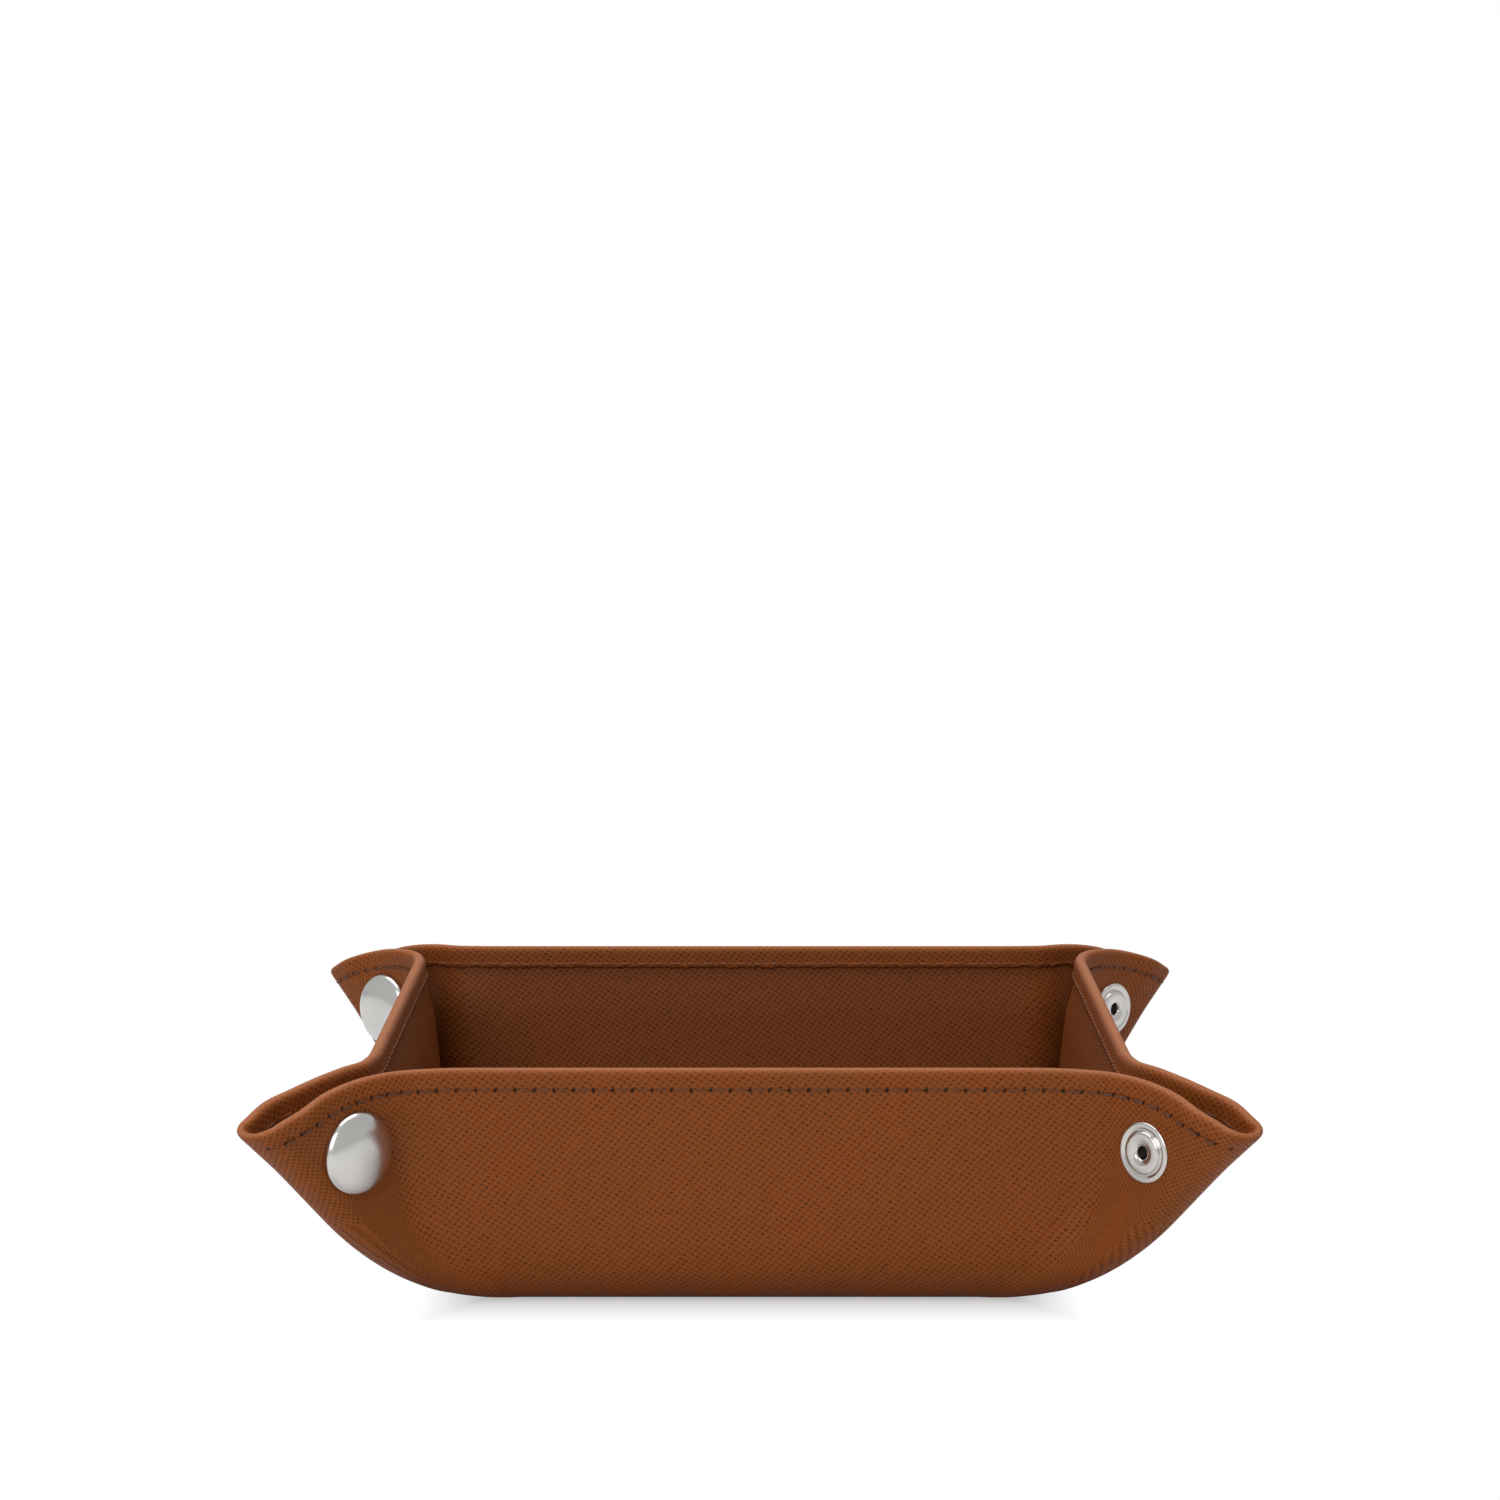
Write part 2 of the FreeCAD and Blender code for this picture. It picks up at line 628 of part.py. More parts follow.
def socket_profile():
    """Socket on the lining behind a cap, open towards the stud."""
    mouth = f"({LINING_FACE} - socket_height)"
    rim = "(socket_body_radius - socket_mouth_radius)"
    return [
        (BARREL_HOLE, LINING_FACE), (BARREL_HOLE, f"({LINING_FACE} - socket_floor)"),
        ("socket_mouth_radius", f"({LINING_FACE} - socket_floor)"), ("socket_mouth_radius", mouth),
        (f"(socket_body_radius - {rim} / 4)", mouth), ("socket_body_radius", f"({mouth} + {rim} / 4)"),
        ("socket_body_radius", f"({LINING_FACE} - 1.5 * socket_flange)"),
        ("socket_radius", f"({LINING_FACE} - socket_flange)"), ("socket_radius", LINING_FACE),
    ]


def stud_profile():
    """Stud on the lining opposite a socket, with a rounded head on a narrower neck."""
    foot = f"(-{LINING_FACE})"
    top = f"({foot} + stud_height)"
    crown = "(stud_crown / 3)"
    return [
        (BARREL_HOLE, foot), ("stud_radius", foot), ("stud_radius", f"({foot} + stud_flange)"),
        ("(stud_neck_radius + stud_flange)", f"({foot} + stud_flange)"),
        ("stud_neck_radius", f"({foot} + 2 * stud_flange)"),
        ("stud_ball_radius", f"({top} - 2.5 * {crown})"), ("stud_ball_radius", f"({top} - {crown})"),
        (f"(stud_ball_radius - {crown})", top), ("0", top), ("0", f"({top} - stud_crown)"),
        (BARREL_HOLE, f"({top} - stud_crown)"),
    ]


def post_profile():
    """Open post on an ear's outer face: a flange with a raised ring, and the barrel that holds the stud."""
    seat = f"(-{EAR_OUT})"
    far = f"({LINING_FACE} * -1 + stud_height - stud_crown - seam_gap)"
    lip = "(barrel_radius - post_hole_radius)"
    return [
        ("post_hole_radius", far), ("post_hole_radius", f"({seat} - post_ring_height + {lip})"),
        (f"(post_hole_radius + 2 * {lip})", f"({seat} - post_ring_height)"),
        (f"(post_ring_radius - {lip})", f"({seat} - post_ring_height)"),
        ("post_ring_radius", f"({seat} - post_flange)"),
        (f"(post_radius - {lip})", f"({seat} - post_flange)"),
        ("post_radius", f"({seat} - post_flange / 2)"), ("post_radius", seat),
        ("barrel_radius", seat), ("barrel_radius", far),
    ]


base_layer("base_outer_leather", "0", "outer_thick")
base_layer("base_board", "outer_thick", "board_thick", "board_margin")
base_layer("base_lining", "(outer_thick + board_thick)", "(lining_thick - board_thick)")
layers = (("outer_leather", "0", "outer_thick"), ("lining", "outer_thick", "lining_thick"))
for index, wall in enumerate(SIDES):
    for layer, near, thick in layers:
        wall_layer(f"{wall}_wall_{layer}", 90 * index, near, thick)
for index, corner_name in enumerate(CORNERS):
    degrees = 90 * index - 45
    post_wall = SIDES[index]
    cap_wall = SIDES[(index + 1) % len(SIDES)]
    for layer, near, thick in layers:
        ear_layer(f"{post_wall}_post_ear_{layer}", degrees, -1, near, thick)
        ear_layer(f"{cap_wall}_cap_ear_{layer}", degrees, 1, near, thick)
        fold_layer(f"{corner_name}_fold_{layer}", degrees, near, thick)
        bowl_layer(f"{corner_name}_corner_{layer}", degrees, near, thick)
    turned_piece(f"{corner_name}_cap", degrees, cap_profile())
    turned_piece(f"{corner_name}_socket", degrees, socket_profile())
    turned_piece(f"{corner_name}_stud", degrees, stud_profile())
    turned_piece(f"{corner_name}_post", degrees, post_profile())

doc.recompute()
for item in doc.Objects:
    if "Invalid" in item.State or "Error" in item.State:
        raise RuntimeError(f"{item.Label} failed: {item.State}")
for piece in sub_parts:
    if piece.Shape.isNull() or not piece.Shape.isValid() or not piece.Shape.Solids:
        raise RuntimeError(f"{piece.Label} has no valid solid")
os.makedirs("parts", exist_ok=True)
for piece in sub_parts:
    piece.Shape.exportStep(f"parts/{piece.Label}.step")
    print(piece.Label, round(piece.Shape.Volume, 1), len(piece.Shape.Solids))
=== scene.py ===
"""Square leather valet tray, its corners pinched into ears by press studs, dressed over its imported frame."""
import math
from collections import namedtuple

import bmesh
import bpy
from mathutils import Matrix, Vector, noise


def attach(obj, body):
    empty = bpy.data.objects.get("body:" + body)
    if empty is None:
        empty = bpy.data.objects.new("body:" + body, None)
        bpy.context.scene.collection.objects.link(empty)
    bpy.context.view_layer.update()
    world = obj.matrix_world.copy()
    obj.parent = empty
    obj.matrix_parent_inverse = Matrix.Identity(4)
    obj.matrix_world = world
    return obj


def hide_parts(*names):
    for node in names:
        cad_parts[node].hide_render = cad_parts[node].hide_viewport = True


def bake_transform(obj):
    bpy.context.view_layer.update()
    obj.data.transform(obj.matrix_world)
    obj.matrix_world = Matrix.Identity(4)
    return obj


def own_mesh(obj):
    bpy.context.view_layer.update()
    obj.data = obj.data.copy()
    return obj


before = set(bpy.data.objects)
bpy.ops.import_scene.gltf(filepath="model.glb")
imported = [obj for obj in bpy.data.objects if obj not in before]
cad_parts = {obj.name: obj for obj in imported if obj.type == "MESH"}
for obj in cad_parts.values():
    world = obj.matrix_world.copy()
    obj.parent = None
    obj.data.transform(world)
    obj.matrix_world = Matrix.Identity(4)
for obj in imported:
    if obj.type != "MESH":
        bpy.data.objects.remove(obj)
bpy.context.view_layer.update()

MM = 0.001
SIDES = ("front", "right", "back", "left")
CORNERS = ("front_right", "back_right", "back_left", "front_left")

# Sizes of the folded sheet in millimetres, as in the part's source.
BASE_HALF = 53.0
BASE_CORNER = 10.0
BASE_STUB = 1.5
BEND = 13.0
LEAN = math.radians(6.5)
RIM_HEIGHT = 45.2
SHEET = 2.5
EAR_GAP = 4.4
EAR_BEND = 8.0
TIP_PAST_CAP = 13.4
TIP_HEIGHT = 37.05
RIDGE_SLOPE = 1.0
BOWL_RIDGE = 18.0
BOWL_WALL = 20.0
CAP_RADIUS = 7.5
CAP_PAST_BEND = 1.0
SNAP_HEIGHT = 31.7

# The turned-over hem along the rim, and its row of stitches, measured over the rim's roll.
HEM_THICK = 2.5
ROLL = HEM_THICK / 2
ROLL_LENGTH = ROLL * math.pi / 2
HEM_BAND = 5.1
FOLD_THINNING = 0.43
LEATHER = 1.0
STITCH_BELOW = 4.5
STITCH_PITCH = 3.5
STITCH_LONG = 2.5
THREAD = 0.5

# Sizes that follow from those.
TURN = math.pi / 2 - LEAN
BEND_OUT = BASE_HALF + BEND * math.sin(TURN)
BEND_TOP = BEND * (1 - math.cos(TURN))
BEND_LENGTH = BEND * TURN
WALL_LENGTH = BEND_LENGTH + (RIM_HEIGHT - BEND_TOP) / math.cos(LEAN)
EAR_OUT = EAR_GAP / 2 + SHEET
EAR_ANGLE = math.pi / 4
EAR_RUN = EAR_BEND * math.tan(EAR_ANGLE / 2)
SLANT = math.sqrt(2) * math.tan(LEAN)
BASE_STRAIGHT = BASE_HALF - BASE_CORNER - BASE_STUB


def ear_start(height):
    """Where the outer faces of a wall and its ear would cross, along the diagonal."""
    wall_out = BEND_OUT + (height - BEND_TOP) * math.tan(LEAN)
    return wall_out * math.sqrt(2) - EAR_OUT


SNAP_REACH = ear_start(SNAP_HEIGHT) + EAR_RUN + CAP_PAST_BEND + CAP_RADIUS
TIP_REACH = SNAP_REACH + CAP_RADIUS + TIP_PAST_CAP
BOWL_REACH = TIP_REACH - (TIP_HEIGHT - BOWL_RIDGE) / RIDGE_SLOPE
BOWL_SLOPE = (BOWL_WALL - BOWL_RIDGE) / (BOWL_REACH - ear_start(BOWL_WALL))
RIM_CORNER = ear_start(RIM_HEIGHT)
RIM_DROP = RIM_HEIGHT - TIP_HEIGHT
RIM_RADIUS = ((TIP_REACH - RIM_CORNER) ** 2 + RIM_DROP ** 2) / (2 * RIM_DROP)
EAR_FAR = ear_start(0) + EAR_RUN

# A place on the folded sheet: the point, the way to the sheet's inside, where it lies on the flat sheet,
# and how far along and below the rim it is.
Spot = namedtuple("Spot", "point inward flat along below")


def smooth(share):
    """An eased share, flat at 0 and 1."""
    return share * share * (3 - 2 * share)


def eased(share):
    """An eased share that stays between 0 and 1."""
    return smooth(min(max(share, 0), 1))


def bowl_height(reach):
    """Upper edge of a lower corner at a distance along the diagonal."""
    return BOWL_RIDGE + (BOWL_REACH - reach) * BOWL_SLOPE


def rim_height(reach):
    """Rim of an ear, which leaves the wall level and falls in an arc to the tip."""
    past = max(reach - RIM_CORNER, 0)
    return RIM_HEIGHT - RIM_RADIUS + math.sqrt(RIM_RADIUS ** 2 - past ** 2)


def wall_at(across, length):
    """A place on the front wall: across from its left end to its right, and a length up from the base."""
    angle = min(length / BEND, TURN)
    straight = max(length - BEND_LENGTH, 0)
    out = BASE_HALF + BEND * math.sin(angle) + straight * math.sin(LEAN)
    height = BEND * (1 - math.cos(angle)) + straight * math.cos(LEAN)
    side = (2 * across - 1) * wall_half(height)
    inward = Vector((0, math.sin(angle), math.cos(angle)))
    below = WALL_LENGTH - ROLL + ROLL_LENGTH - length
    return Spot(Vector((side, -out, height)), inward, Vector((side, -BASE_HALF - length)), side, below)


def wall_low(across, climb):
    """A place on the front wall's lower part, up to the height of the ears' lower edges."""
    return wall_at(across, climb * LOW_LENGTH)


def wall_high(across, climb):
    """A place on the front wall's upper part, up to the hem."""
    return puffed(wall_at(across, LOW_LENGTH + climb * (WALL_LENGTH - ROLL - LOW_LENGTH)))


def wall_up(across):
    """The way up the front wall at its rim."""
    return Vector((0, -math.sin(LEAN), math.cos(LEAN)))


def wall_half(height):
    """Half of a wall's width: it widens to the ear's lower end, then on to the rim."""
    low, high = ear_edges(0)[:2]
    low_half = (low.x - low.y) / math.sqrt(2)
    high_half = (high.x - high.y) / math.sqrt(2)
    if height < low.z:
        return BASE_STRAIGHT + (low_half - BASE_STRAIGHT) * height / low.z
    top = high.z - ROLL * math.cos(LEAN)
    return low_half + (high_half - low_half) * min((height - low.z) / (top - low.z), 1)


EAR_BEND_SHARE = 0.3


def ear_edges(along):
    """Lower edge, rim and inward way of an ear in its corner's frame, and the run from the wall's end."""
    if along < EAR_BEND_SHARE:
        angle = EAR_ANGLE * (1 - along / EAR_BEND_SHARE)
        offset = EAR_FAR - EAR_BEND * math.sin(angle)
        across = EAR_OUT + EAR_BEND * (1 - math.cos(angle))
        inward = Vector((-math.sin(angle), -math.cos(angle), SLANT * math.sin(angle))).normalized()
        low = (BOWL_RIDGE + (BOWL_REACH - offset) * BOWL_SLOPE) / (1 + BOWL_SLOPE * SLANT)
        high = settle(lambda height: rim_height(offset + SLANT * height), RIM_HEIGHT)
        run = EAR_BEND * (EAR_ANGLE - angle)
        return Vector((offset + SLANT * low, across, low)), Vector((offset + SLANT * high, across, high)), inward, run
    start_low, start_high, inward, run = ear_edges(EAR_BEND_SHARE - 1e-9)
    end_low, end_high = fold_edges(0)[:2]
    share = (along - EAR_BEND_SHARE) / (1 - EAR_BEND_SHARE)
    low = start_low.lerp(end_low, share)
    reach = start_high.x + (end_high.x - start_high.x) * share
    high = Vector((reach, EAR_OUT, rim_height(reach)))
    return low, high, Vector((0, -1, 0)), run + reach - start_high.x


def fold_edges(turned):
    """Lower edge, rim and inward way of the fold, from the ear (0) to the ridge (1), and the run from the ear."""
    angle = turned * math.pi / 2
    rise = EAR_OUT * (1 - math.sin(angle))
    across = EAR_OUT * math.cos(angle)
    low = BOWL_REACH - rise / (RIDGE_SLOPE + BOWL_SLOPE)
    high = settle(lambda reach: TIP_REACH - (TIP_HEIGHT + rise - rim_height(reach)) / RIDGE_SLOPE, TIP_REACH)
    inward = Vector((-RIDGE_SLOPE * math.sin(angle), -math.cos(angle), math.sin(angle))).normalized()
    return Vector((low, across, bowl_height(low))), Vector((high, across, rim_height(high))), inward, EAR_OUT * angle


def settle(step, start):
    """The number that a step leaves as it is, found by repeating the step."""
    number = start
    for _ in range(24):
        number = step(number)
    return number


def edge_up(edges, along):
    """The way up the sheet at the rim of an ear or a fold, square to the rim."""
    step = 1e-3
    before = edges(max(along - step, 0))[1]
    after = edges(along + step)[1]
    up = (after - before).cross(edges(along)[2]).normalized()
    return up if up.z > 0 else -up


def edge_spot(edges, along, climb, start_run, roll):
    """A place on an ear or a fold, between its lower edge and its hem."""
    low, high, inward, run = edges(along)
    top = high - edge_up(edges, along) * roll
    seam = LOW_HALF + (EAR_SEAM - LOW_HALF) * climb
    below = ROLL_LENGTH + (1 - climb) * (top - low).length
    flat = Vector((seam + start_run + run, below - ROLL_LENGTH + ROLL - WALL_LENGTH - BASE_HALF))
    return Spot(low.lerp(top, climb), inward, flat, EAR_SEAM + start_run + run, below)


LOW_EDGE = ear_edges(0)[0]
LOW_HALF = wall_half(LOW_EDGE.z)
LOW_LENGTH = BEND_LENGTH + (LOW_EDGE.z - BEND_TOP) / math.cos(LEAN)
EAR_SEAM = wall_half(RIM_HEIGHT)
EAR_LENGTH = ear_edges(1)[3]

# How far the upper sheet stands off the plain folds, as pressed by the stud: round the bend out of the wall,
# along the pinch, and round the pocket behind the stud. Each swell has a height, a place and a width.
PINCH_SWELL = 0.5
BEND_SWELL = (1.4, 3.0, 6.0)
POCKET_SWELL = (1.15, 25.0, 4.0)
SWELL_REACH = 12.0


def swell(run, height, place, width):
    """A rounded swell along the rim."""
    return height * math.exp(-((run - place) / width) ** 2)


def puffed(spot):
    """A place with the swell of the upper sheet, which dies out below the rim."""
    run = abs(spot.along) - EAR_SEAM
    out = PINCH_SWELL * eased(run / 8) + swell(run, *BEND_SWELL) + swell(run, *POCKET_SWELL)
    share = 1 - eased((spot.below - ROLL_LENGTH) / SWELL_REACH)
    return spot._replace(point=spot.point - spot.inward * (out * share))


def ear_high(along, climb):
    """A place on an ear."""
    return puffed(edge_spot(ear_edges, along, climb, 0, ROLL))


def ear_up(along):
    """The way up an ear at its rim."""
    return edge_up(ear_edges, along)


def fold_high(turned, climb):
    """A place on half of a corner's fold."""
    return puffed(edge_spot(fold_edges, turned, climb, EAR_LENGTH, fold_roll(turned)))


def full_roll(across):
    """Half of the hem's thickness on a wall or an ear."""
    return ROLL


def fold_roll(turned):
    """Half of the hem's thickness on the fold, pressed thinner towards the ridge."""
    return ROLL * (1 - FOLD_THINNING * math.sin(turned * math.pi / 2))


def fold_up(turned):
    """The way up the fold at its rim."""
    return edge_up(fold_edges, turned)


# A lower corner's upper edge runs along the bend, the flat and the fold of its ear.
TOP_BEND = EAR_BEND * EAR_ANGLE
TOP_FLAT = fold_edges(0)[0].x - ear_edges(EAR_BEND_SHARE)[0].x
TOP_FOLD = EAR_OUT * math.pi / 2
TOP_LENGTH = TOP_BEND + TOP_FLAT + TOP_FOLD


def ear_length(along):
    """Length along a lower corner's upper edge, from a place along the ear."""
    if along < EAR_BEND_SHARE:
        return TOP_BEND * along / EAR_BEND_SHARE
    return TOP_BEND + TOP_FLAT * (along - EAR_BEND_SHARE) / (1 - EAR_BEND_SHARE)


def bowl_foot(share):
    """Lower edge of a lower corner round the base, and the level way outwards there."""
    centre = Vector((math.sqrt(2) * (BASE_HALF - BASE_CORNER), 0, 0))
    along = share * (BASE_STUB + BASE_CORNER * math.pi / 4)
    if along < BASE_STUB:
        outward = Vector((1, 1, 0)).normalized()
        return centre + outward * BASE_CORNER + Vector((-1, 1, 0)).normalized() * (BASE_STUB - along), outward
    angle = math.pi / 4 - (along - BASE_STUB) / BASE_CORNER
    outward = Vector((math.cos(angle), math.sin(angle), 0))
    return centre + outward * BASE_CORNER, outward


# How strongly a lower corner leaves the base and arrives above, as a multiple of its way.
WALL_LEAVING = 1.25
WALL_ARRIVING = 1.45
RIDGE_LEAVING = 1.1
RIDGE_ARRIVING = 0.75


def bowl_curve(share, climb, top):
    """The free curve of a lower corner, from the base's edge to its upper edge."""
    foot, outward = bowl_foot(share)
    wall_way = Vector((math.sin(LEAN) / math.sqrt(2), math.sin(LEAN) / math.sqrt(2), math.cos(LEAN)))
    ridge_way = Vector((1, 0, RIDGE_SLOPE)).normalized()
    ridge_share = smooth(share)
    arrival = wall_way.lerp(ridge_way, ridge_share).normalized()
    run = BOWL_REACH - math.sqrt(2) * BASE_HALF + (math.sqrt(2) - 1) * BASE_CORNER
    pull = LOW_LENGTH * WALL_LEAVING * (1 - ridge_share) + run * RIDGE_LEAVING * ridge_share
    push = LOW_LENGTH * WALL_ARRIVING * (1 - ridge_share) + run * RIDGE_ARRIVING * ridge_share
    keep = 1 - smooth(climb)
    leave = outward * (pull * climb * (1 - climb) ** 2)
    return foot * keep + top * (1 - keep) + leave + arrival * (push * climb * climb * (climb - 1))


def bowl_spot(share, climb, edges, along):
    """A place on half of a lower corner, from the wall (0) to the ridge (1), under a place on its ear or fold."""
    top, _, top_inward, _ = edges(along)
    side = wall_low(1, climb)
    out = -side.point.y
    side_point = Vector(((out + side.point.x) / math.sqrt(2), (out - side.point.x) / math.sqrt(2), side.point.z))
    hold = (1 - share) ** 2
    point = bowl_curve(share, climb, top) + (side_point - bowl_curve(0, climb, LOW_EDGE)) * hold
    inward = Vector((0, 0, 1)).lerp(top_inward, eased(climb)).normalized()
    foot = bowl_foot(share)[0]
    foot_flat = Vector(((foot.x - foot.y) / math.sqrt(2), -(foot.x + foot.y) / math.sqrt(2)))
    top_flat = edge_spot(edges, along, 0, EAR_LENGTH if edges is fold_edges else 0, ROLL).flat
    side_flat = Vector((BASE_STRAIGHT, -BASE_HALF)).lerp(Vector((LOW_HALF, -BASE_HALF - LOW_LENGTH)), climb)
    flat = foot_flat.lerp(top_flat, climb) + (side.flat - side_flat) * hold
    return Spot(point, inward, flat, 0, FAR_BELOW)


# From a piece's own frame to the tray's. Left ends of the walls have the caps, right ends the posts.
def turned(degrees):
    """A turn about the tray's upright axis."""
    return Matrix.Rotation(math.radians(degrees), 3, "Z")


class Place:
    """Where a folded panel goes: the turn of its wall, and the corner's frame at one end of the wall."""

    def __init__(self, wall, end=0):
        self.matrix = turned(90 * wall)
        if end:
            self.matrix = turned(90 * wall + 45 * end - 90) @ Matrix.Diagonal((1, -end, 1))

    def point(self, spot_point):
        """A point in the tray's frame, in metres."""
        return self.matrix @ spot_point * MM

    def way(self, vector):
        """A direction in the tray's frame."""
        return self.matrix @ vector


# A wall's whole skin as one grid: steps run from the middle of the wall past an ear to the ridge of its fold,
# rows from the base past the top of the lower corner to the hem.
WALL_STEPS = 75
EAR_STEPS = WALL_STEPS + 46
RIDGE_STEPS = EAR_STEPS + 14
LOW_ROWS = 26
SHEET_ROWS = LOW_ROWS + 24
ROLL_ROWS = 8
FLAP_ROWS = 5
HEM_ROWS = SHEET_ROWS + ROLL_ROWS + FLAP_ROWS
FAR_BELOW = 60.0
SMOOTHINGS = 10
LINING_EASE = 0.8
LINING_EASE_ROWS = 14
TUCK = 0.05

# Between the two leathers lie strips that close the corners when they open.
BETWEEN = 1.48
STRIP_THICK = 0.18
STRIP_STEPS = 14
SIDE_STRIP_STEPS = 38
STRIP_LAP = 2
STRIP_GAP = 0.03
STRIP_ROWS = 15


def hem_spot(spot, up, row, roll):
    """A place on the hem: over the rim's roll, then down the band inside to its ragged edge."""
    centre = spot.point + spot.inward * roll
    if row <= ROLL_ROWS:
        angle = math.pi * row / ROLL_ROWS
        way = up * math.sin(angle) - spot.inward * math.cos(angle)
        return past_rim(spot, centre + way * roll, -way, ROLL_LENGTH - ROLL * angle)
    share = (row - ROLL_ROWS) / FLAP_ROWS
    ragged = noise.noise(Vector((spot.along * 0.9, 3.1, 0))) * 0.45
    ragged += noise.noise(Vector((spot.along * 3.7, 7.7, 0))) * 0.3
    drop = share * (HEM_BAND - ROLL_LENGTH + ragged * share)
    return past_rim(spot, centre + spot.inward * roll - up * drop, -spot.inward, -ROLL_LENGTH - drop)


def past_rim(spot, point, inward, below):
    """A place further up the same sheet than a spot at the start of the hem."""
    return Spot(point, inward, spot.flat + Vector((0, below - spot.below)), spot.along, below)


def skin_zone(step):
    """What a step of the skin lies on: places, edges, way up, hem, and the place along it."""
    if step <= WALL_STEPS:
        return wall_high, None, wall_up, full_roll, 0.5 + step / (2 * WALL_STEPS)
    if step <= EAR_STEPS:
        return ear_high, ear_edges, ear_up, full_roll, (step - WALL_STEPS) / (EAR_STEPS - WALL_STEPS)
    return fold_high, fold_edges, fold_up, fold_roll, (step - EAR_STEPS) / (RIDGE_STEPS - EAR_STEPS)


RIGHT_END = Place(0, 1)


def skin_spot(step, row):
    """A place on the front wall's skin, right of its middle."""
    high, edges, up, roll, along = skin_zone(step)
    if row > LOW_ROWS:
        found = high(along, min((row - LOW_ROWS) / (SHEET_ROWS - LOW_ROWS), 1))
        if row > SHEET_ROWS:
            found = hem_spot(found, up(along), row - SHEET_ROWS, roll(along))
    elif edges is None:
        found = wall_low(along, row / LOW_ROWS)
    else:
        length = ear_length(along) if edges is ear_edges else TOP_BEND + TOP_FLAT + TOP_FOLD * along
        found = bowl_spot(length / TOP_LENGTH, row / LOW_ROWS, edges, along)
    if edges is None:
        return found
    return found._replace(point=RIGHT_END.way(found.point), inward=RIGHT_END.way(found.inward))


def mirrored(spot):
    """The same place left of the wall's middle."""
    across = Vector((-1, 1, 1))
    return Spot(spot.point * across, spot.inward * across, spot.flat * Vector((-1, 1)), -spot.along, spot.below)


def wall_skin():
    """The outer face of the front wall with its ears, folds and halves of lower corners, in millimetres."""
    mesh = bmesh.new()
    bmesh.ops.create_grid(mesh, x_segments=2 * RIDGE_STEPS + 2, y_segments=HEM_ROWS + 1, size=0.5)
    sheet_map = mesh.loops.layers.uv.new("Sheet")
    edge_map = mesh.loops.layers.uv.new("Edge")
    step_of = mesh.verts.layers.int.new("step")
    row_of = mesh.verts.layers.int.new("row")
    half = {}
    spots = {}
    for vertex in mesh.verts:
        step = round(vertex.co.x * (2 * RIDGE_STEPS + 2))
        row = round((vertex.co.y + 0.5) * (HEM_ROWS + 1)) - 1
        if (abs(step), row) not in half:
            half[abs(step), row] = skin_spot(abs(step), row)
        found = half[abs(step), row]
        spots[vertex] = mirrored(found) if step < 0 else found
        vertex[step_of] = step
        vertex[row_of] = row
        vertex.co = spots[vertex].point
    for face in mesh.faces:
        for loop in face.loops:
            found = spots[loop.vert]
            loop[sheet_map].uv = found.flat
            loop[edge_map].uv = (found.along, found.below)
        face.smooth = True
    loose = [v for v in mesh.verts if 0 < v[row_of] < SHEET_ROWS - 1 and abs(v[step_of]) < RIDGE_STEPS]
    for _ in range(SMOOTHINGS):
        bmesh.ops.smooth_vert(mesh, verts=loose, factor=0.5, use_axis_x=True, use_axis_y=True, use_axis_z=True)
    bmesh.ops.recalc_face_normals(mesh, faces=mesh.faces)
    mesh.normal_update()
    middle = next(v for v in mesh.verts if v[step_of] == 0 and v[row_of] == LOW_ROWS)
    if middle.normal.dot(spots[middle].inward) > 0:
        bmesh.ops.reverse_faces(mesh, faces=mesh.faces)
        mesh.normal_update()
    return mesh


def deeper_skin(outer, depth):
    """A face of the same sheet at a depth from its outer face, up to the hem."""
    mesh = outer.copy()
    mesh.normal_update()
    row_of = mesh.verts.layers.int["row"]
    for vertex in mesh.verts:
        rim_share = eased(1 - (SHEET_ROWS - vertex[row_of]) / LINING_EASE_ROWS)
        vertex.co -= vertex.normal * (depth - LINING_EASE * rim_share)
    hem = [vertex for vertex in mesh.verts if vertex[row_of] > SHEET_ROWS]
    bmesh.ops.delete(mesh, geom=hem, context="VERTS")
    bmesh.ops.reverse_faces(mesh, faces=mesh.faces)
    mesh.normal_update()
    return mesh


def panel(name, skin, wall, steps, rows, thickness=LEATHER):
    """A piece of a wall's skin, with a border one cell wide that is tucked under its neighbours."""
    mesh = skin.copy()
    step_of = mesh.verts.layers.int["step"]
    row_of = mesh.verts.layers.int["row"]
    sheet_map = mesh.loops.layers.uv["Sheet"]

    def past(vertex):
        """How many cells a vertex lies outside the piece."""
        step_past = max(steps[0] - vertex[step_of], vertex[step_of] - steps[1])
        return max(step_past, rows[0] - vertex[row_of], vertex[row_of] - rows[1])

    far = [vertex for vertex in mesh.verts if past(vertex) > 1]
    border = [vertex for vertex in mesh.verts if past(vertex) == 1]
    for vertex in border:
        vertex.co -= vertex.normal * TUCK
    bmesh.ops.delete(mesh, geom=far, context="VERTS")
    flat_turn = Matrix.Rotation(math.radians(90 * wall), 2)
    for face in mesh.faces:
        for loop in face.loops:
            loop[sheet_map].uv = flat_turn @ loop[sheet_map].uv
    bmesh.ops.transform(mesh, matrix=(turned(90 * wall) * MM).to_4x4(), verts=mesh.verts)
    piece = finished(name, mesh)
    shell = piece.modifiers.new("Thickness", "SOLIDIFY")
    shell.thickness = thickness * MM
    shell.offset = -1
    return piece


def finished(name, mesh):
    """An object of the scene with the mesh that was modelled."""
    data = bpy.data.meshes.new(name)
    mesh.to_mesh(data)
    mesh.free()
    piece = bpy.data.objects.new(name, data)
    bpy.context.scene.collection.objects.link(piece)
    return piece


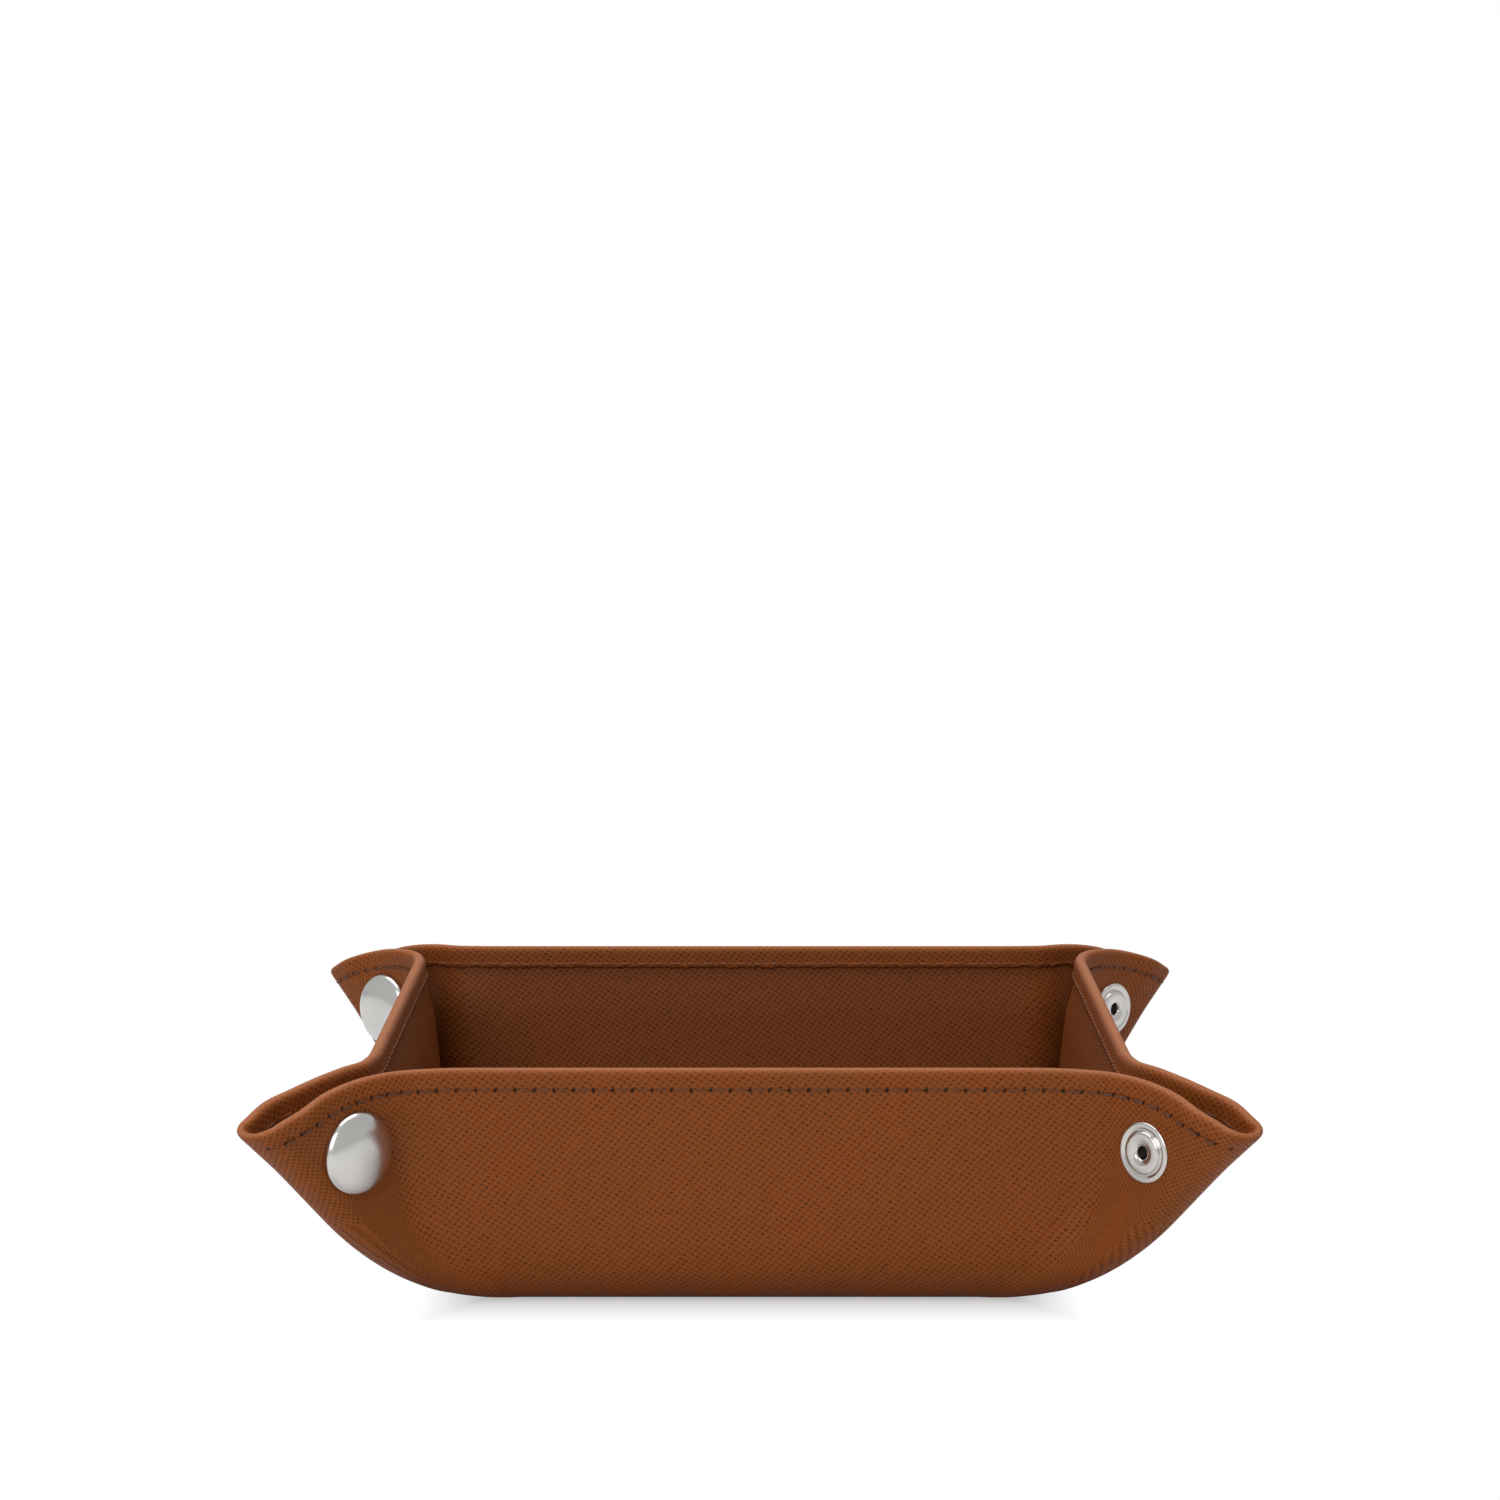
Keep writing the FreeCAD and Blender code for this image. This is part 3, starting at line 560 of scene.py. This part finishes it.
def lathe(name, profile, matrix, steps=72):
    """A round piece, turned from its profile of radius and height, with its axis set by a matrix."""
    mesh = bmesh.new()
    chain = [mesh.verts.new((radius * MM, 0, height * MM)) for radius, height in profile]
    edges = [mesh.edges.new(pair) for pair in zip(chain, chain[1:])]
    bmesh.ops.spin(mesh, geom=chain + edges, cent=(0, 0, 0), axis=(0, 0, 1), angle=2 * math.pi, steps=steps,
                   use_merge=True)
    bmesh.ops.remove_doubles(mesh, verts=mesh.verts, dist=1e-6)
    bmesh.ops.recalc_face_normals(mesh, faces=mesh.faces)
    for face in mesh.faces:
        face.smooth = True
    bmesh.ops.transform(mesh, matrix=matrix, verts=mesh.verts)
    return finished(name, mesh)


def rounded(start, end, centre, steps=5):
    """Points of a quarter arc between two points of a profile, about a centre."""
    first = math.atan2(start[1] - centre[1], start[0] - centre[0])
    last = math.atan2(end[1] - centre[1], end[0] - centre[0])
    turn = (last - first + math.pi) % (2 * math.pi) - math.pi
    radius = math.hypot(start[0] - centre[0], start[1] - centre[1])
    angles = [first + turn * step / steps for step in range(steps + 1)]
    return [(centre[0] + radius * math.cos(a), centre[1] + radius * math.sin(a)) for a in angles]


# Shader maths.
class Wire:
    """A socket of a node tree, with arithmetic that adds Math nodes."""

    def __init__(self, finish, socket):
        self.finish = finish
        self.socket = socket

    def math(self, operation, *values):
        """A Math node on values, which may be wires or numbers."""
        return self.finish.add("ShaderNodeMath", enumerate(values), operation=operation)

    def __add__(self, other):
        return self.math("ADD", self, other)

    def __sub__(self, other):
        return self.math("SUBTRACT", self, other)

    def __mul__(self, other):
        return self.math("MULTIPLY", self, other)

    def __truediv__(self, other):
        return self.math("DIVIDE", self, other)

    def __pow__(self, other):
        return self.math("POWER", self, other)

    def __rsub__(self, other):
        return self.math("SUBTRACT", other, self)

    __radd__ = __add__
    __rmul__ = __mul__

    def above(self, low, high):
        """A share that rises from 0 at low to 1 at high."""
        return ((self - low) / (high - low)).clamp()

    def clamp(self):
        """This value, kept between 0 and 1."""
        return self.math("MAXIMUM", self.math("MINIMUM", self, 1.0), 0.0)

    def within(self, middle, half):
        """1 at a middle value, falling to 0 at a distance from it."""
        return 1 - (self.math("ABSOLUTE", self - middle) / half).clamp()


# A Mix node's sockets for colours.
MIX_FIRST = 6
MIX_SECOND = 7
MIX_RESULT = 2
WHITE = (1.0, 1.0, 1.0, 1.0)


class Finish:
    """The node tree of a material or a world, under construction."""

    def __init__(self, owner, output="ShaderNodeOutputMaterial"):
        owner.use_nodes = True
        self.owner = owner
        self.tree = owner.node_tree
        self.tree.nodes.clear()
        self.output = self.tree.nodes.new(output)

    def add(self, kind, inputs=(), output=0, **settings):
        """A node of a kind: its settings first, then the values or links of its sockets."""
        node = self.tree.nodes.new(kind)
        for key, setting in settings.items():
            setattr(node, key, setting)
        for key, number in dict(inputs).items():
            if isinstance(number, Wire):
                self.tree.links.new(number.socket, node.inputs[key])
            else:
                node.inputs[key].default_value = number
        return Wire(self, node.outputs[output])

    def blend(self, share, first, second):
        """One colour into another by a share."""
        colours = {"Factor": share, MIX_FIRST: first, MIX_SECOND: second}
        return self.add("ShaderNodeMix", colours, MIX_RESULT, data_type="RGBA")

    def noise(self, vector, scale, detail=2.0, roughness=0.5):
        """Fractal noise at a scale, from 0 to 1."""
        inputs = {"Vector": vector, "Scale": scale, "Detail": detail, "Roughness": roughness}
        return self.add("ShaderNodeTexNoise", inputs)

    def split(self, vector):
        """The three values of a vector."""
        node = self.add("ShaderNodeSeparateXYZ", {"Vector": vector}).socket.node
        return [Wire(self, socket) for socket in node.outputs]

    def bump(self, height, strength, distance):
        """A bumped normal from a height."""
        return self.add("ShaderNodeBump", {"Height": height, "Strength": strength, "Distance": distance})

    def surface(self, shader):
        """The finished material or world, with its surface."""
        self.tree.links.new(shader.socket, self.output.inputs["Surface"])
        return self.owner


# The embossing: two sets of grooves across each other, each with its direction on the flat sheet and its pitch.
Grooves = namedtuple("Grooves", "side up pitch")
FIRST_GROOVES = Grooves(-0.515, 0.857, 0.9)
SECOND_GROOVES = Grooves(0.763, 0.646, 1.04)
# Near-black painted shade for the needle holes.
HOLE_SHADE_COLOUR = (0.012, 0.006, 0.004, 1.0)


def groove_wave(side, up, grooves, shift):
    """A wave from 0 to 1 across a set of grooves, whose lines wander by a shift."""
    beat = (side * grooves.side + up * grooves.up) / grooves.pitch + shift
    return 0.5 + 0.5 * beat.math("SINE", beat * (2 * math.pi))


def embossed_leather(name, tone, flipped):
    """Tan leather with a cross-hatch of fine pits, a rim made pale partly by wear and partly by a painted highlight,
    with a peach painted highlight on its crest, and a sunk row of needle holes outside, painted dark as shade.
    """
    finish = Finish(bpy.data.materials.new(name))
    sheet = finish.add("ShaderNodeUVMap", uv_map="Sheet")
    side, up, _ = finish.split(sheet)
    if flipped:
        up = up * -1.0
    wander = finish.noise(sheet, 0.22, 2.0) - 0.5
    jitter = finish.noise(sheet, 1.1, 1.0) - 0.5
    first_wave = groove_wave(side, up, FIRST_GROOVES, wander * 0.5 + jitter * 0.16)
    second_wave = groove_wave(side, up, SECOND_GROOVES, wander * -0.4 + jitter * 0.16)
    pit = (first_wave * second_wave) ** 1.1
    patch = finish.noise(sheet, 0.05, 3.0)
    grain = finish.noise(sheet, 3.2, 3.0, 0.6)
    depth = 0.45 + 0.55 * finish.noise(sheet, 0.6, 1.0).above(0.3, 0.7)

    edge = finish.add("ShaderNodeUVMap", uv_map="Edge")
    along, below, _ = finish.split(edge)
    inside = below.math("LESS_THAN", below, -ROLL_LENGTH)
    drop = below.math("ABSOLUTE", below)
    beat = along / STITCH_PITCH
    hole_along = (beat - beat.math("ROUND", beat)) * STITCH_PITCH
    crooked = (finish.noise(edge, 0.9, 1.0) - 0.5) * 0.35
    hole_across = drop - STITCH_BELOW + crooked
    hole_far = hole_along * hole_along + hole_across * hole_across * 0.7
    # Masks of the needle holes and the sunk groove, used for bumps and for painted shade.
    hole = (1 - hole_far.above(0.02, 0.2)) * (1 - inside)
    groove = (drop + crooked).within(STITCH_BELOW, 0.75) * (1 - inside)
    # Rim and crest masks for a painted highlight along the rim top; the fibre-broken scuff part is partly real wear
    # and partly that highlight.
    rim = drop.within(0.0, 2.2)
    crest_highlight = drop.within(0.3, 1.0)
    fringe = (0 - below).above(HEM_BAND - 1.1, HEM_BAND - 0.1) * inside
    fibres = finish.noise(edge, 2.4, 4.0, 0.7)
    scuff_and_sheen = rim * fibres.above(0.42, 0.72)

    dark = tuple(value * 0.22 for value in tone) + (1.0,)
    pale = (min(tone[0] * 1.55, 1.0), tone[1] * 1.7, tone[2] * 1.9, 1.0)
    # Peach: the colour of the painted highlight on the rim's crest.
    peach_highlight = (tone[0] * 1.9, tone[1] * 2.6, tone[2] * 5.5, 1.0)
    warm = (tone[0] * 1.1, tone[1] * 1.02, tone[2] * 0.9, 1.0)
    colour = finish.blend(patch.above(0.35, 0.65), tone + (1.0,), warm)
    colour = finish.blend(pit * depth, colour, dark)
    # Painted highlight on the rim and its crest, with some real wear in the scuffed part.
    colour = finish.blend((scuff_and_sheen * 0.45 + rim * 0.25).clamp(), colour, pale)
    colour = finish.blend(crest_highlight * 0.6, colour, peach_highlight)
    colour = finish.blend(fringe * fibres.above(0.35, 0.65) * 0.8, colour, pale)
    # Painted shade: a little along the groove, near black in the needle holes.
    colour = finish.blend(groove * 0.18, colour, dark)
    colour = finish.blend(hole, colour, HOLE_SHADE_COLOUR)
    roughness = 0.5 + pit * 0.2 - scuff_and_sheen * 0.05 + (grain - 0.5) * 0.16
    height = (1 - pit * depth) * 0.6 + grain * 0.35 + fringe * fibres * 1.6 - groove * 0.9 - hole * 1.4
    normal = finish.bump(height, 0.55, 0.00022)
    shader = finish.add("ShaderNodeBsdfPrincipled", {
        "Base Color": colour, "Roughness": roughness, "Normal": normal, "Specular IOR Level": 0.13,
    })
    return finish.surface(shader)


def thread_finish(name, dark, pale):
    """Waxed thread, twisted, close to the leather's own colour."""
    finish = Finish(bpy.data.materials.new(name))
    spot = finish.add("ShaderNodeTexCoord", output="Object")
    twist = finish.noise(spot, 1800.0, 2.0)
    colour = finish.blend(twist.above(0.3, 0.7), dark, pale)
    shader = finish.add("ShaderNodeBsdfPrincipled", {
        "Base Color": colour, "Roughness": 0.62 + (twist - 0.5) * 0.2, "Normal": finish.bump(twist, 0.4, 0.0001),
    })
    return finish.surface(shader)


def nickel(name, tone, rough, brushed):
    """Nickel plate with faint rub marks and slight unevenness."""
    finish = Finish(bpy.data.materials.new(name))
    spot = finish.add("ShaderNodeTexCoord", output="Object")
    cloud = finish.noise(spot, 190.0, 3.0)
    marks = finish.noise(spot, 2600.0, 2.0, 0.7)
    dim = tuple(value * 0.86 for value in tone) + (1.0,)
    colour = finish.blend(cloud.above(0.35, 0.7) * 0.6, tone + (1.0,), dim)
    roughness = rough + (cloud - 0.5) * 0.1 + (marks - 0.5) * brushed
    shader = finish.add("ShaderNodeBsdfPrincipled", {
        "Base Color": colour, "Metallic": 1.0, "Roughness": roughness, "Normal": finish.bump(marks, 0.06, 0.00005),
    })
    return finish.surface(shader)


def fibre_board(name):
    """Grey-brown pressed fibre board."""
    finish = Finish(bpy.data.materials.new(name))
    spot = finish.add("ShaderNodeTexCoord", output="Object")
    flecks = finish.noise(spot, 700.0, 4.0, 0.7)
    colour = finish.blend(flecks.above(0.35, 0.65), (0.4, 0.31, 0.21, 1.0), (0.5, 0.41, 0.3, 1.0))
    shader = finish.add("ShaderNodeBsdfPrincipled", {
        "Base Color": colour, "Roughness": 0.85 + (flecks - 0.5) * 0.1, "Normal": finish.bump(flecks, 0.3, 0.0002),
    })
    return finish.surface(shader)


TAN = (0.235, 0.063, 0.0125)
outer_leather = embossed_leather("outer_leather", TAN, False)
# The lining is the same leather as the outside, its tone darkened as painted shade for the tray's dim inside.
shaded_lining_leather = embossed_leather("shaded_lining_leather", (0.2, 0.056, 0.0115), True)
thread = thread_finish("thread", (0.07, 0.022, 0.007, 1.0), (0.135, 0.04, 0.011, 1.0))
inner_thread = thread_finish("inner_thread", (0.13, 0.036, 0.009, 1.0), (0.19, 0.052, 0.011, 1.0))
cap_nickel = nickel("cap_nickel", (0.68, 0.67, 0.65), 0.2, 0.06)
post_nickel = nickel("post_nickel", (0.68, 0.66, 0.63), 0.16, 0.05)
# Near-black metal: painted shade inside the post's hole.
hole_shade_metal = nickel("hole_shade_metal", (0.02, 0.018, 0.016), 0.6, 0.1)
board_finish = fibre_board("board_finish")
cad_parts["base_board"].data.materials.clear()
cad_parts["base_board"].data.materials.append(board_finish)


def dress(piece, material, slot, *nodes):
    """Gives a piece its finish and hides the solids that it stands for."""
    piece.data.materials.append(material)
    if nodes:
        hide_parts(*nodes)
    return piece


# The base, cut from a block with rounded corners, in two layers.
def base_panel(name, bottom, top, material, slot, node):
    """One layer of the flat base."""
    mesh = bmesh.new()
    size = Vector((2 * BASE_HALF, 2 * BASE_HALF, top - bottom)) * MM
    block = Matrix.Translation((0, 0, (bottom + top) / 2 * MM)) @ Matrix.Diagonal((*size, 1))
    bmesh.ops.create_cube(mesh, size=1, matrix=block)
    upright = [edge for edge in mesh.edges if abs(edge.verts[0].co.z - edge.verts[1].co.z) > MM / 10]
    bmesh.ops.bevel(mesh, geom=upright, offset=BASE_CORNER * MM, offset_type="OFFSET", affect="EDGES", segments=14,
                    profile=0.5, material=-1)
    sheet_map = mesh.loops.layers.uv.new("Sheet")
    edge_map = mesh.loops.layers.uv.new("Edge")
    for face in mesh.faces:
        for loop in face.loops:
            loop[sheet_map].uv = loop.vert.co.xy / MM
            loop[edge_map].uv = (0, FAR_BELOW)
    piece = dress(finished(name, mesh), material, slot, node)
    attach(piece, "base")


BASE_LEATHER_TOP = 1.2
BASE_FLOOR_BOTTOM = 1.75
base_panel("base_leather", 0, BASE_LEATHER_TOP, outer_leather, "outer_leather", "base_outer_leather")
base_panel("base_floor", BASE_FLOOR_BOTTOM, SHEET, shaded_lining_leather, "lining", "base_lining")


def layers(name, wall, steps, rows, node):
    """The outer leather and the lining of a panel, each standing for its solid."""
    outer = panel(f"{name}_leather", outer_skin, wall, steps, rows)
    lining = panel(f"{name}_shaded_lining_leather", inner_skin, wall, steps, rows)
    dress(outer, outer_leather, "outer_leather", f"{node}_outer_leather")
    dress(lining, shaded_lining_leather, "lining", f"{node}_lining")
    return outer, lining


def bend_wall(piece):
    """Bakes the placement of a piece between the base and a wall into its mesh."""
    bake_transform(piece)


def bend_ear(piece, place):
    """Bakes the placement of a piece between a wall and its ear into its mesh; the chord of the upright bend is
    worked out but not used.
    """
    slant = Vector((SLANT, 0, 1)).normalized()
    chord = Vector((EAR_BEND * math.sin(EAR_ANGLE), -EAR_BEND * (1 - math.cos(EAR_ANGLE)), 0))
    chord -= slant * chord.dot(slant)
    start = ear_edges(0)[1]
    place.point(start)
    place.point(start + chord)
    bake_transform(piece)


# How far a fold's axis is drawn outwards, towards the diagonal.
FOLD_PULL = 0.06


def flatten_corner(piece):
    """Attaches half of a lower corner to the base, with a mesh of its own."""
    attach(piece, "base")
    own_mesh(piece)


def flatten_strip(piece, body, axis, anchor):
    """Gives a hidden strip the lining's finish and attaches it to its wall or ear, with a mesh of its own."""
    dress(piece, shaded_lining_leather, "lining")
    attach(piece, body)
    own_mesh(piece)


def flatten_fold(piece, place, wall, kind):
    """Attaches half of a corner's fold to its ear, with a mesh of its own; the way it would turn is worked out but
    not used.
    """
    outwards = Vector((1, 0, -RIDGE_SLOPE)).normalized()
    axis = Vector((0, 1, 0)) + outwards * FOLD_PULL
    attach(piece, f"{wall}_{kind}_ear")
    place.way(axis)
    place.point(fold_edges(0)[0])
    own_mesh(piece)


# Stitches along the hem, on the outside and on the band inside.
def stitch_row(name, place, spot, up, start, end, lengths, inside):
    """A row of sunk stitches: each a small bead drawn out along the rim."""
    mesh = bmesh.new()
    first = math.ceil(start / STITCH_PITCH - 0.5)
    last = math.floor(end / STITCH_PITCH - 0.5)
    for beat in range(first, last + 1):
        along = (beat + 0.5) * STITCH_PITCH
        centre, tangent, way_in = stitch_place(spot, up, lengths, along, inside)
        across = tangent.cross(way_in)
        frame_matrix = Matrix((place.way(tangent), place.way(across), place.way(way_in))).transposed().to_4x4()
        size = Matrix.Diagonal((STITCH_LONG / 2 * MM, THREAD / 2 * MM, THREAD * 0.4 * MM, 1))
        place_matrix = Matrix.Translation(place.point(centre)) @ frame_matrix @ size
        bmesh.ops.create_uvsphere(mesh, u_segments=8, v_segments=6, radius=1, matrix=place_matrix)
    bmesh.ops.recalc_face_normals(mesh, faces=mesh.faces)
    for face in mesh.faces:
        face.smooth = True
    return dress(finished(name, mesh), inner_thread if inside else thread, "outer_leather")


def stitch_place(spot, up, lengths, along, inside):
    """Middle, direction and inward way of a stitch at a distance along the rim."""
    across = lengths(along)
    found = spot(across, 1)
    step = 1e-3
    tangent = (spot(min(across + step, 1), 1).point - spot(max(across - step, 0), 1).point).normalized()
    upward = up(across)
    crooked = noise.noise(Vector((along * 0.37, 1.7, 0.0))) * 0.14
    down = STITCH_BELOW - ROLL_LENGTH + crooked
    tangent = (tangent + upward * noise.noise(Vector((along * 0.91, 5.3, 0.0))) * 0.08).normalized()
    sink = HEM_THICK + 0.02 if inside else 0.05
    return found.point - upward * down + found.inward * sink, tangent, found.inward


def wall_share(along):
    """Across the wall, from a distance along the rim."""
    return along / (2 * EAR_SEAM) + 0.5


def ear_share(along):
    """Along the ear, from a distance along the rim."""
    run = along - EAR_SEAM
    bend = EAR_BEND * EAR_ANGLE
    if run < bend:
        return EAR_BEND_SHARE * run / bend
    return EAR_BEND_SHARE + (1 - EAR_BEND_SHARE) * (run - bend) / (EAR_LENGTH - bend)


outer_skin = wall_skin()
inner_skin = deeper_skin(outer_skin, SHEET)
middle_skin = deeper_skin(outer_skin, BETWEEN)
FACES = (("outer", False), ("inner", True))


def build_wall(wall):
    """A wall with its bend out of the base and its stitches."""
    side = SIDES[wall]
    for piece in layers(f"{side}_wall", wall, (-WALL_STEPS, WALL_STEPS), (0, HEM_ROWS), f"{side}_wall"):
        bend_wall(piece)
    for face_name, inside in FACES:
        row = stitch_row(f"{side}_wall_{face_name}_stitches", Place(wall), wall_high, wall_up, -EAR_SEAM, EAR_SEAM,
                         wall_share, inside)
        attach(row, f"{side}_wall")


def build_end(wall, kind, end):
    """The ear at one end of a wall with its stitches, and its halves of a fold and of a lower corner."""
    side = SIDES[wall]
    corner = CORNERS[wall if end > 0 else wall - 1]
    there = Place(wall, end)
    ear_steps = sorted((end * WALL_STEPS, end * EAR_STEPS))
    fold_steps = sorted((end * EAR_STEPS, end * RIDGE_STEPS))
    corner_steps = sorted((end * WALL_STEPS, end * RIDGE_STEPS))
    for piece in layers(f"{side}_{kind}_ear", wall, ear_steps, (LOW_ROWS, HEM_ROWS), f"{side}_{kind}_ear"):
        bend_ear(piece, there)
    for face_name, inside in FACES:
        row = stitch_row(f"{side}_{kind}_ear_{face_name}_stitches", there, ear_high, ear_up, EAR_SEAM,
                         EAR_SEAM + EAR_LENGTH, ear_share, inside)
        bend_ear(row, there)
    for piece in layers(f"{side}_{kind}_fold", wall, fold_steps, (LOW_ROWS, HEM_ROWS), f"{corner}_fold"):
        flatten_fold(piece, there, side, kind)
    outer, lining = layers(f"{side}_{kind}_corner", wall, corner_steps, (0, LOW_ROWS), f"{corner}_corner")
    flatten_corner(outer)
    flatten_corner(lining)


def build_strips(wall, kind, end):
    """The hidden strips at one end of a wall, between its two leathers: one attached to the wall, one to its ear."""
    side = SIDES[wall]
    here = Place(wall)
    there = Place(wall, end)
    steps = sorted((end * (WALL_STEPS - STRIP_LAP), end * (WALL_STEPS + SIDE_STRIP_STEPS)))
    rows = (1, LOW_ROWS + STRIP_LAP)
    strip = panel(f"{side}_{kind}_side_strip", middle_skin, wall, steps, rows, STRIP_THICK)
    rim = wall_at(0.5, WALL_LENGTH)
    flatten_strip(strip, f"{side}_wall", here.way(rim.inward), here.point(rim.point + rim.inward * BETWEEN))
    steps = sorted((end * (WALL_STEPS + STRIP_STEPS), end * (RIDGE_STEPS - 1)))
    rows = (LOW_ROWS - STRIP_ROWS, LOW_ROWS + STRIP_LAP)
    strip = panel(f"{side}_{kind}_ear_strip", middle_skin, wall, steps, rows, STRIP_THICK)
    middle = Vector((TIP_REACH, EAR_OUT - BETWEEN + STRIP_THICK + STRIP_GAP, TIP_HEIGHT))
    flatten_strip(strip, f"{side}_{kind}_ear", there.way(Vector((0, 1, 0))), there.point(middle))


for wall in range(len(SIDES)):
    build_wall(wall)
    for kind, end in (("cap", -1), ("post", 1)):
        build_end(wall, kind, end)
        build_strips(wall, kind, end)
for skin in (outer_skin, inner_skin, middle_skin):
    skin.free()

# The press studs: domed cap and socket on one ear, post and stud on the other.
CAP_FULLNESS = 0.84
CAP_DOME = [
    (7.5 * math.cos(math.radians(a)) ** CAP_FULLNESS, 0.75 + 2.5 * math.sin(math.radians(a)) ** CAP_FULLNESS)
    for a in range(0, 91, 6)
]
CAP_PROFILE = [
    (1.9, -SHEET), (1.9, 0), (5.6, 0), (7.0, 0.16), *rounded((7.15, 0.2), (7.5, 0.55), (7.15, 0.55)), *CAP_DOME,
]
SOCKET_PROFILE = [
    (0, 0.6), (1.2, 0.6), (3.0, 0.6), (3.2, 0.8), (3.2, 3.1), *rounded((3.3, 3.2), (3.5, 3.4), (3.5, 3.2)),
    *rounded((4.2, 3.4), (4.6, 3.0), (4.2, 3.0)), (4.6, 1.4), (4.9, 1.0),
    *rounded((5.7, 0.85), (6.0, 0.55), (5.7, 0.55)), (6.0, 0),
]
STUD_PROFILE = [
    (5.5, 0), *rounded((5.5, 0.3), (5.3, 0.5), (5.3, 0.3)), (3.0, 0.55), (2.45, 0.8), (2.35, 1.2), (2.5, 1.7),
    *rounded((2.75, 2.1), (2.55, 2.6), (2.3, 2.15)), (2.3, 3.0), (1.8, 3.25), (0, 3.3),
]
POST_PROFILE = [
    (5.5, 0), *rounded((5.5, 0.3), (5.2, 0.62), (5.15, 0.27)), (4.8, 0.66), (4.45, 0.6), (4.2, 0.42), (4.05, 0.4),
    *rounded((3.9, 0.55), (3.4, 1.08), (3.37, 0.55)), (2.9, 1.1), (1.75, 1.06), (1.4, 0.9), (1.18, 0.55), (1.1, 0.1),
    (1.1, -2.5), (0, -2.5),
]
# A dark plug down the hole of the post: painted shade for the hole's dark inside.
HOLE_SHADE_PROFILE = [(0, -2.4), (1.0, -2.4), (1.0, 0.35), (0, 0.35)]


def snap_matrix(degrees, out, outwards):
    """Places a turned piece on the stud's axis, at a distance from the pinch's middle plane."""
    spin = Matrix.Rotation(math.radians(-90 * outwards), 4, "X")
    middle = Matrix.Translation(Vector((SNAP_REACH, out, SNAP_HEIGHT)) * MM)
    return Matrix.Rotation(math.radians(degrees), 4, "Z") @ middle @ spin


for index, corner in enumerate(CORNERS):
    degrees = 90 * index - 45
    cap_ear = f"{SIDES[(index + 1) % 4]}_cap_ear"
    post_ear = f"{SIDES[index]}_post_ear"
    studs = (
        ("cap", CAP_PROFILE, EAR_OUT, 1, cap_nickel, "cap_metal", cap_ear),
        ("socket", SOCKET_PROFILE, EAR_GAP / 2, -1, post_nickel, "stud_metal", cap_ear),
        ("stud", STUD_PROFILE, -EAR_GAP / 2, 1, post_nickel, "stud_metal", post_ear),
        ("post", POST_PROFILE, -EAR_OUT, -1, post_nickel, "stud_metal", post_ear),
        # The last row is a dark plug of painted shade down the post's hole.
        ("rivet", HOLE_SHADE_PROFILE, -EAR_OUT, -1, hole_shade_metal, "stud_metal", post_ear),
    )
    for kind, profile, out, outwards, material, slot, body in studs:
        piece = lathe(f"{corner}_{kind}_turned", profile, snap_matrix(degrees, out, outwards))
        nodes = () if kind == "rivet" else (f"{corner}_{kind}",)
        dress(piece, material, slot, *nodes)
        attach(piece, body)


# Floor, backdrop, light and camera.
def floor_finish():
    """A pale floor that turns white to the camera away from the tray and keeps the tray's shadow near it."""
    finish = Finish(bpy.data.materials.new("floor_finish"))
    side, back, _ = finish.split(finish.add("ShaderNodeTexCoord", output="Object"))
    far_side = side.math("ABSOLUTE", side).above(0.044, 0.06)
    far_back = back.math("ABSOLUTE", back).above(0.048, 0.072)
    shade = finish.add("ShaderNodeBsdfDiffuse", {"Color": (0.86, 0.86, 0.86, 1.0)})
    white = finish.add("ShaderNodeEmission", {"Color": WHITE, "Strength": 1.0})
    seen = finish.add("ShaderNodeLightPath", output="Is Camera Ray")
    share = seen * (0.3 + 0.7 * side.math("MAXIMUM", far_side, far_back))
    return finish.surface(finish.add("ShaderNodeMixShader", {0: share, 1: shade, 2: white}))


def floor_plane():
    """A wide floor under the tray."""
    mesh = bmesh.new()
    bmesh.ops.create_grid(mesh, x_segments=1, y_segments=1, size=6)
    plane = finished("floor", mesh)
    plane.data.materials.append(floor_finish())
    plane.location.z = -0.0002


WORLD_LIGHT = 0.32
WORLD_SHINE = 0.42


def studio_world():
    """A white surround to the camera, a grey one in reflections, and a dimmer one for light."""
    finish = Finish(bpy.data.worlds.new("studio"), "ShaderNodeOutputWorld")
    seen = finish.add("ShaderNodeLightPath", output="Is Camera Ray")
    shiny = finish.add("ShaderNodeLightPath", output="Is Glossy Ray")
    white = (seen + shiny * WORLD_SHINE).clamp()
    strength = WORLD_LIGHT + white * (1 - WORLD_LIGHT)
    bpy.context.scene.world = finish.surface(
        finish.add("ShaderNodeBackground", {"Color": WHITE, "Strength": strength})
    )


def softbox(name, location, target, size, power):
    """A square soft light aimed at a point."""
    data = bpy.data.lights.new(name, "AREA")
    data.shape = "SQUARE"
    data.size = size
    data.energy = power
    lamp = bpy.data.objects.new(name, data)
    lamp.location = location
    lamp.rotation_euler = (Vector(target) - Vector(location)).to_track_quat("-Z", "Y").to_euler()
    bpy.context.scene.collection.objects.link(lamp)


floor_plane()
studio_world()
softbox("overhead", (-0.1, 0.15, 1.1), (0, 0, 0.03), 0.9, 9.0)
softbox("front_fill", (-0.45, -1.3, 0.75), (0, 0, 0.03), 0.8, 8.0)

lens = bpy.data.cameras.new("camera")
lens.lens = 101.9
lens.sensor_width = 36.0
lens.clip_start = 0.05
camera = bpy.data.objects.new("camera", lens)
camera.location = (0.0, -0.816, 0.1877)
camera.rotation_euler = (math.radians(83.5), 0.0, 0.0)
bpy.context.scene.collection.objects.link(camera)
bpy.context.scene.camera = camera
bpy.context.scene.view_settings.view_transform = "Standard"
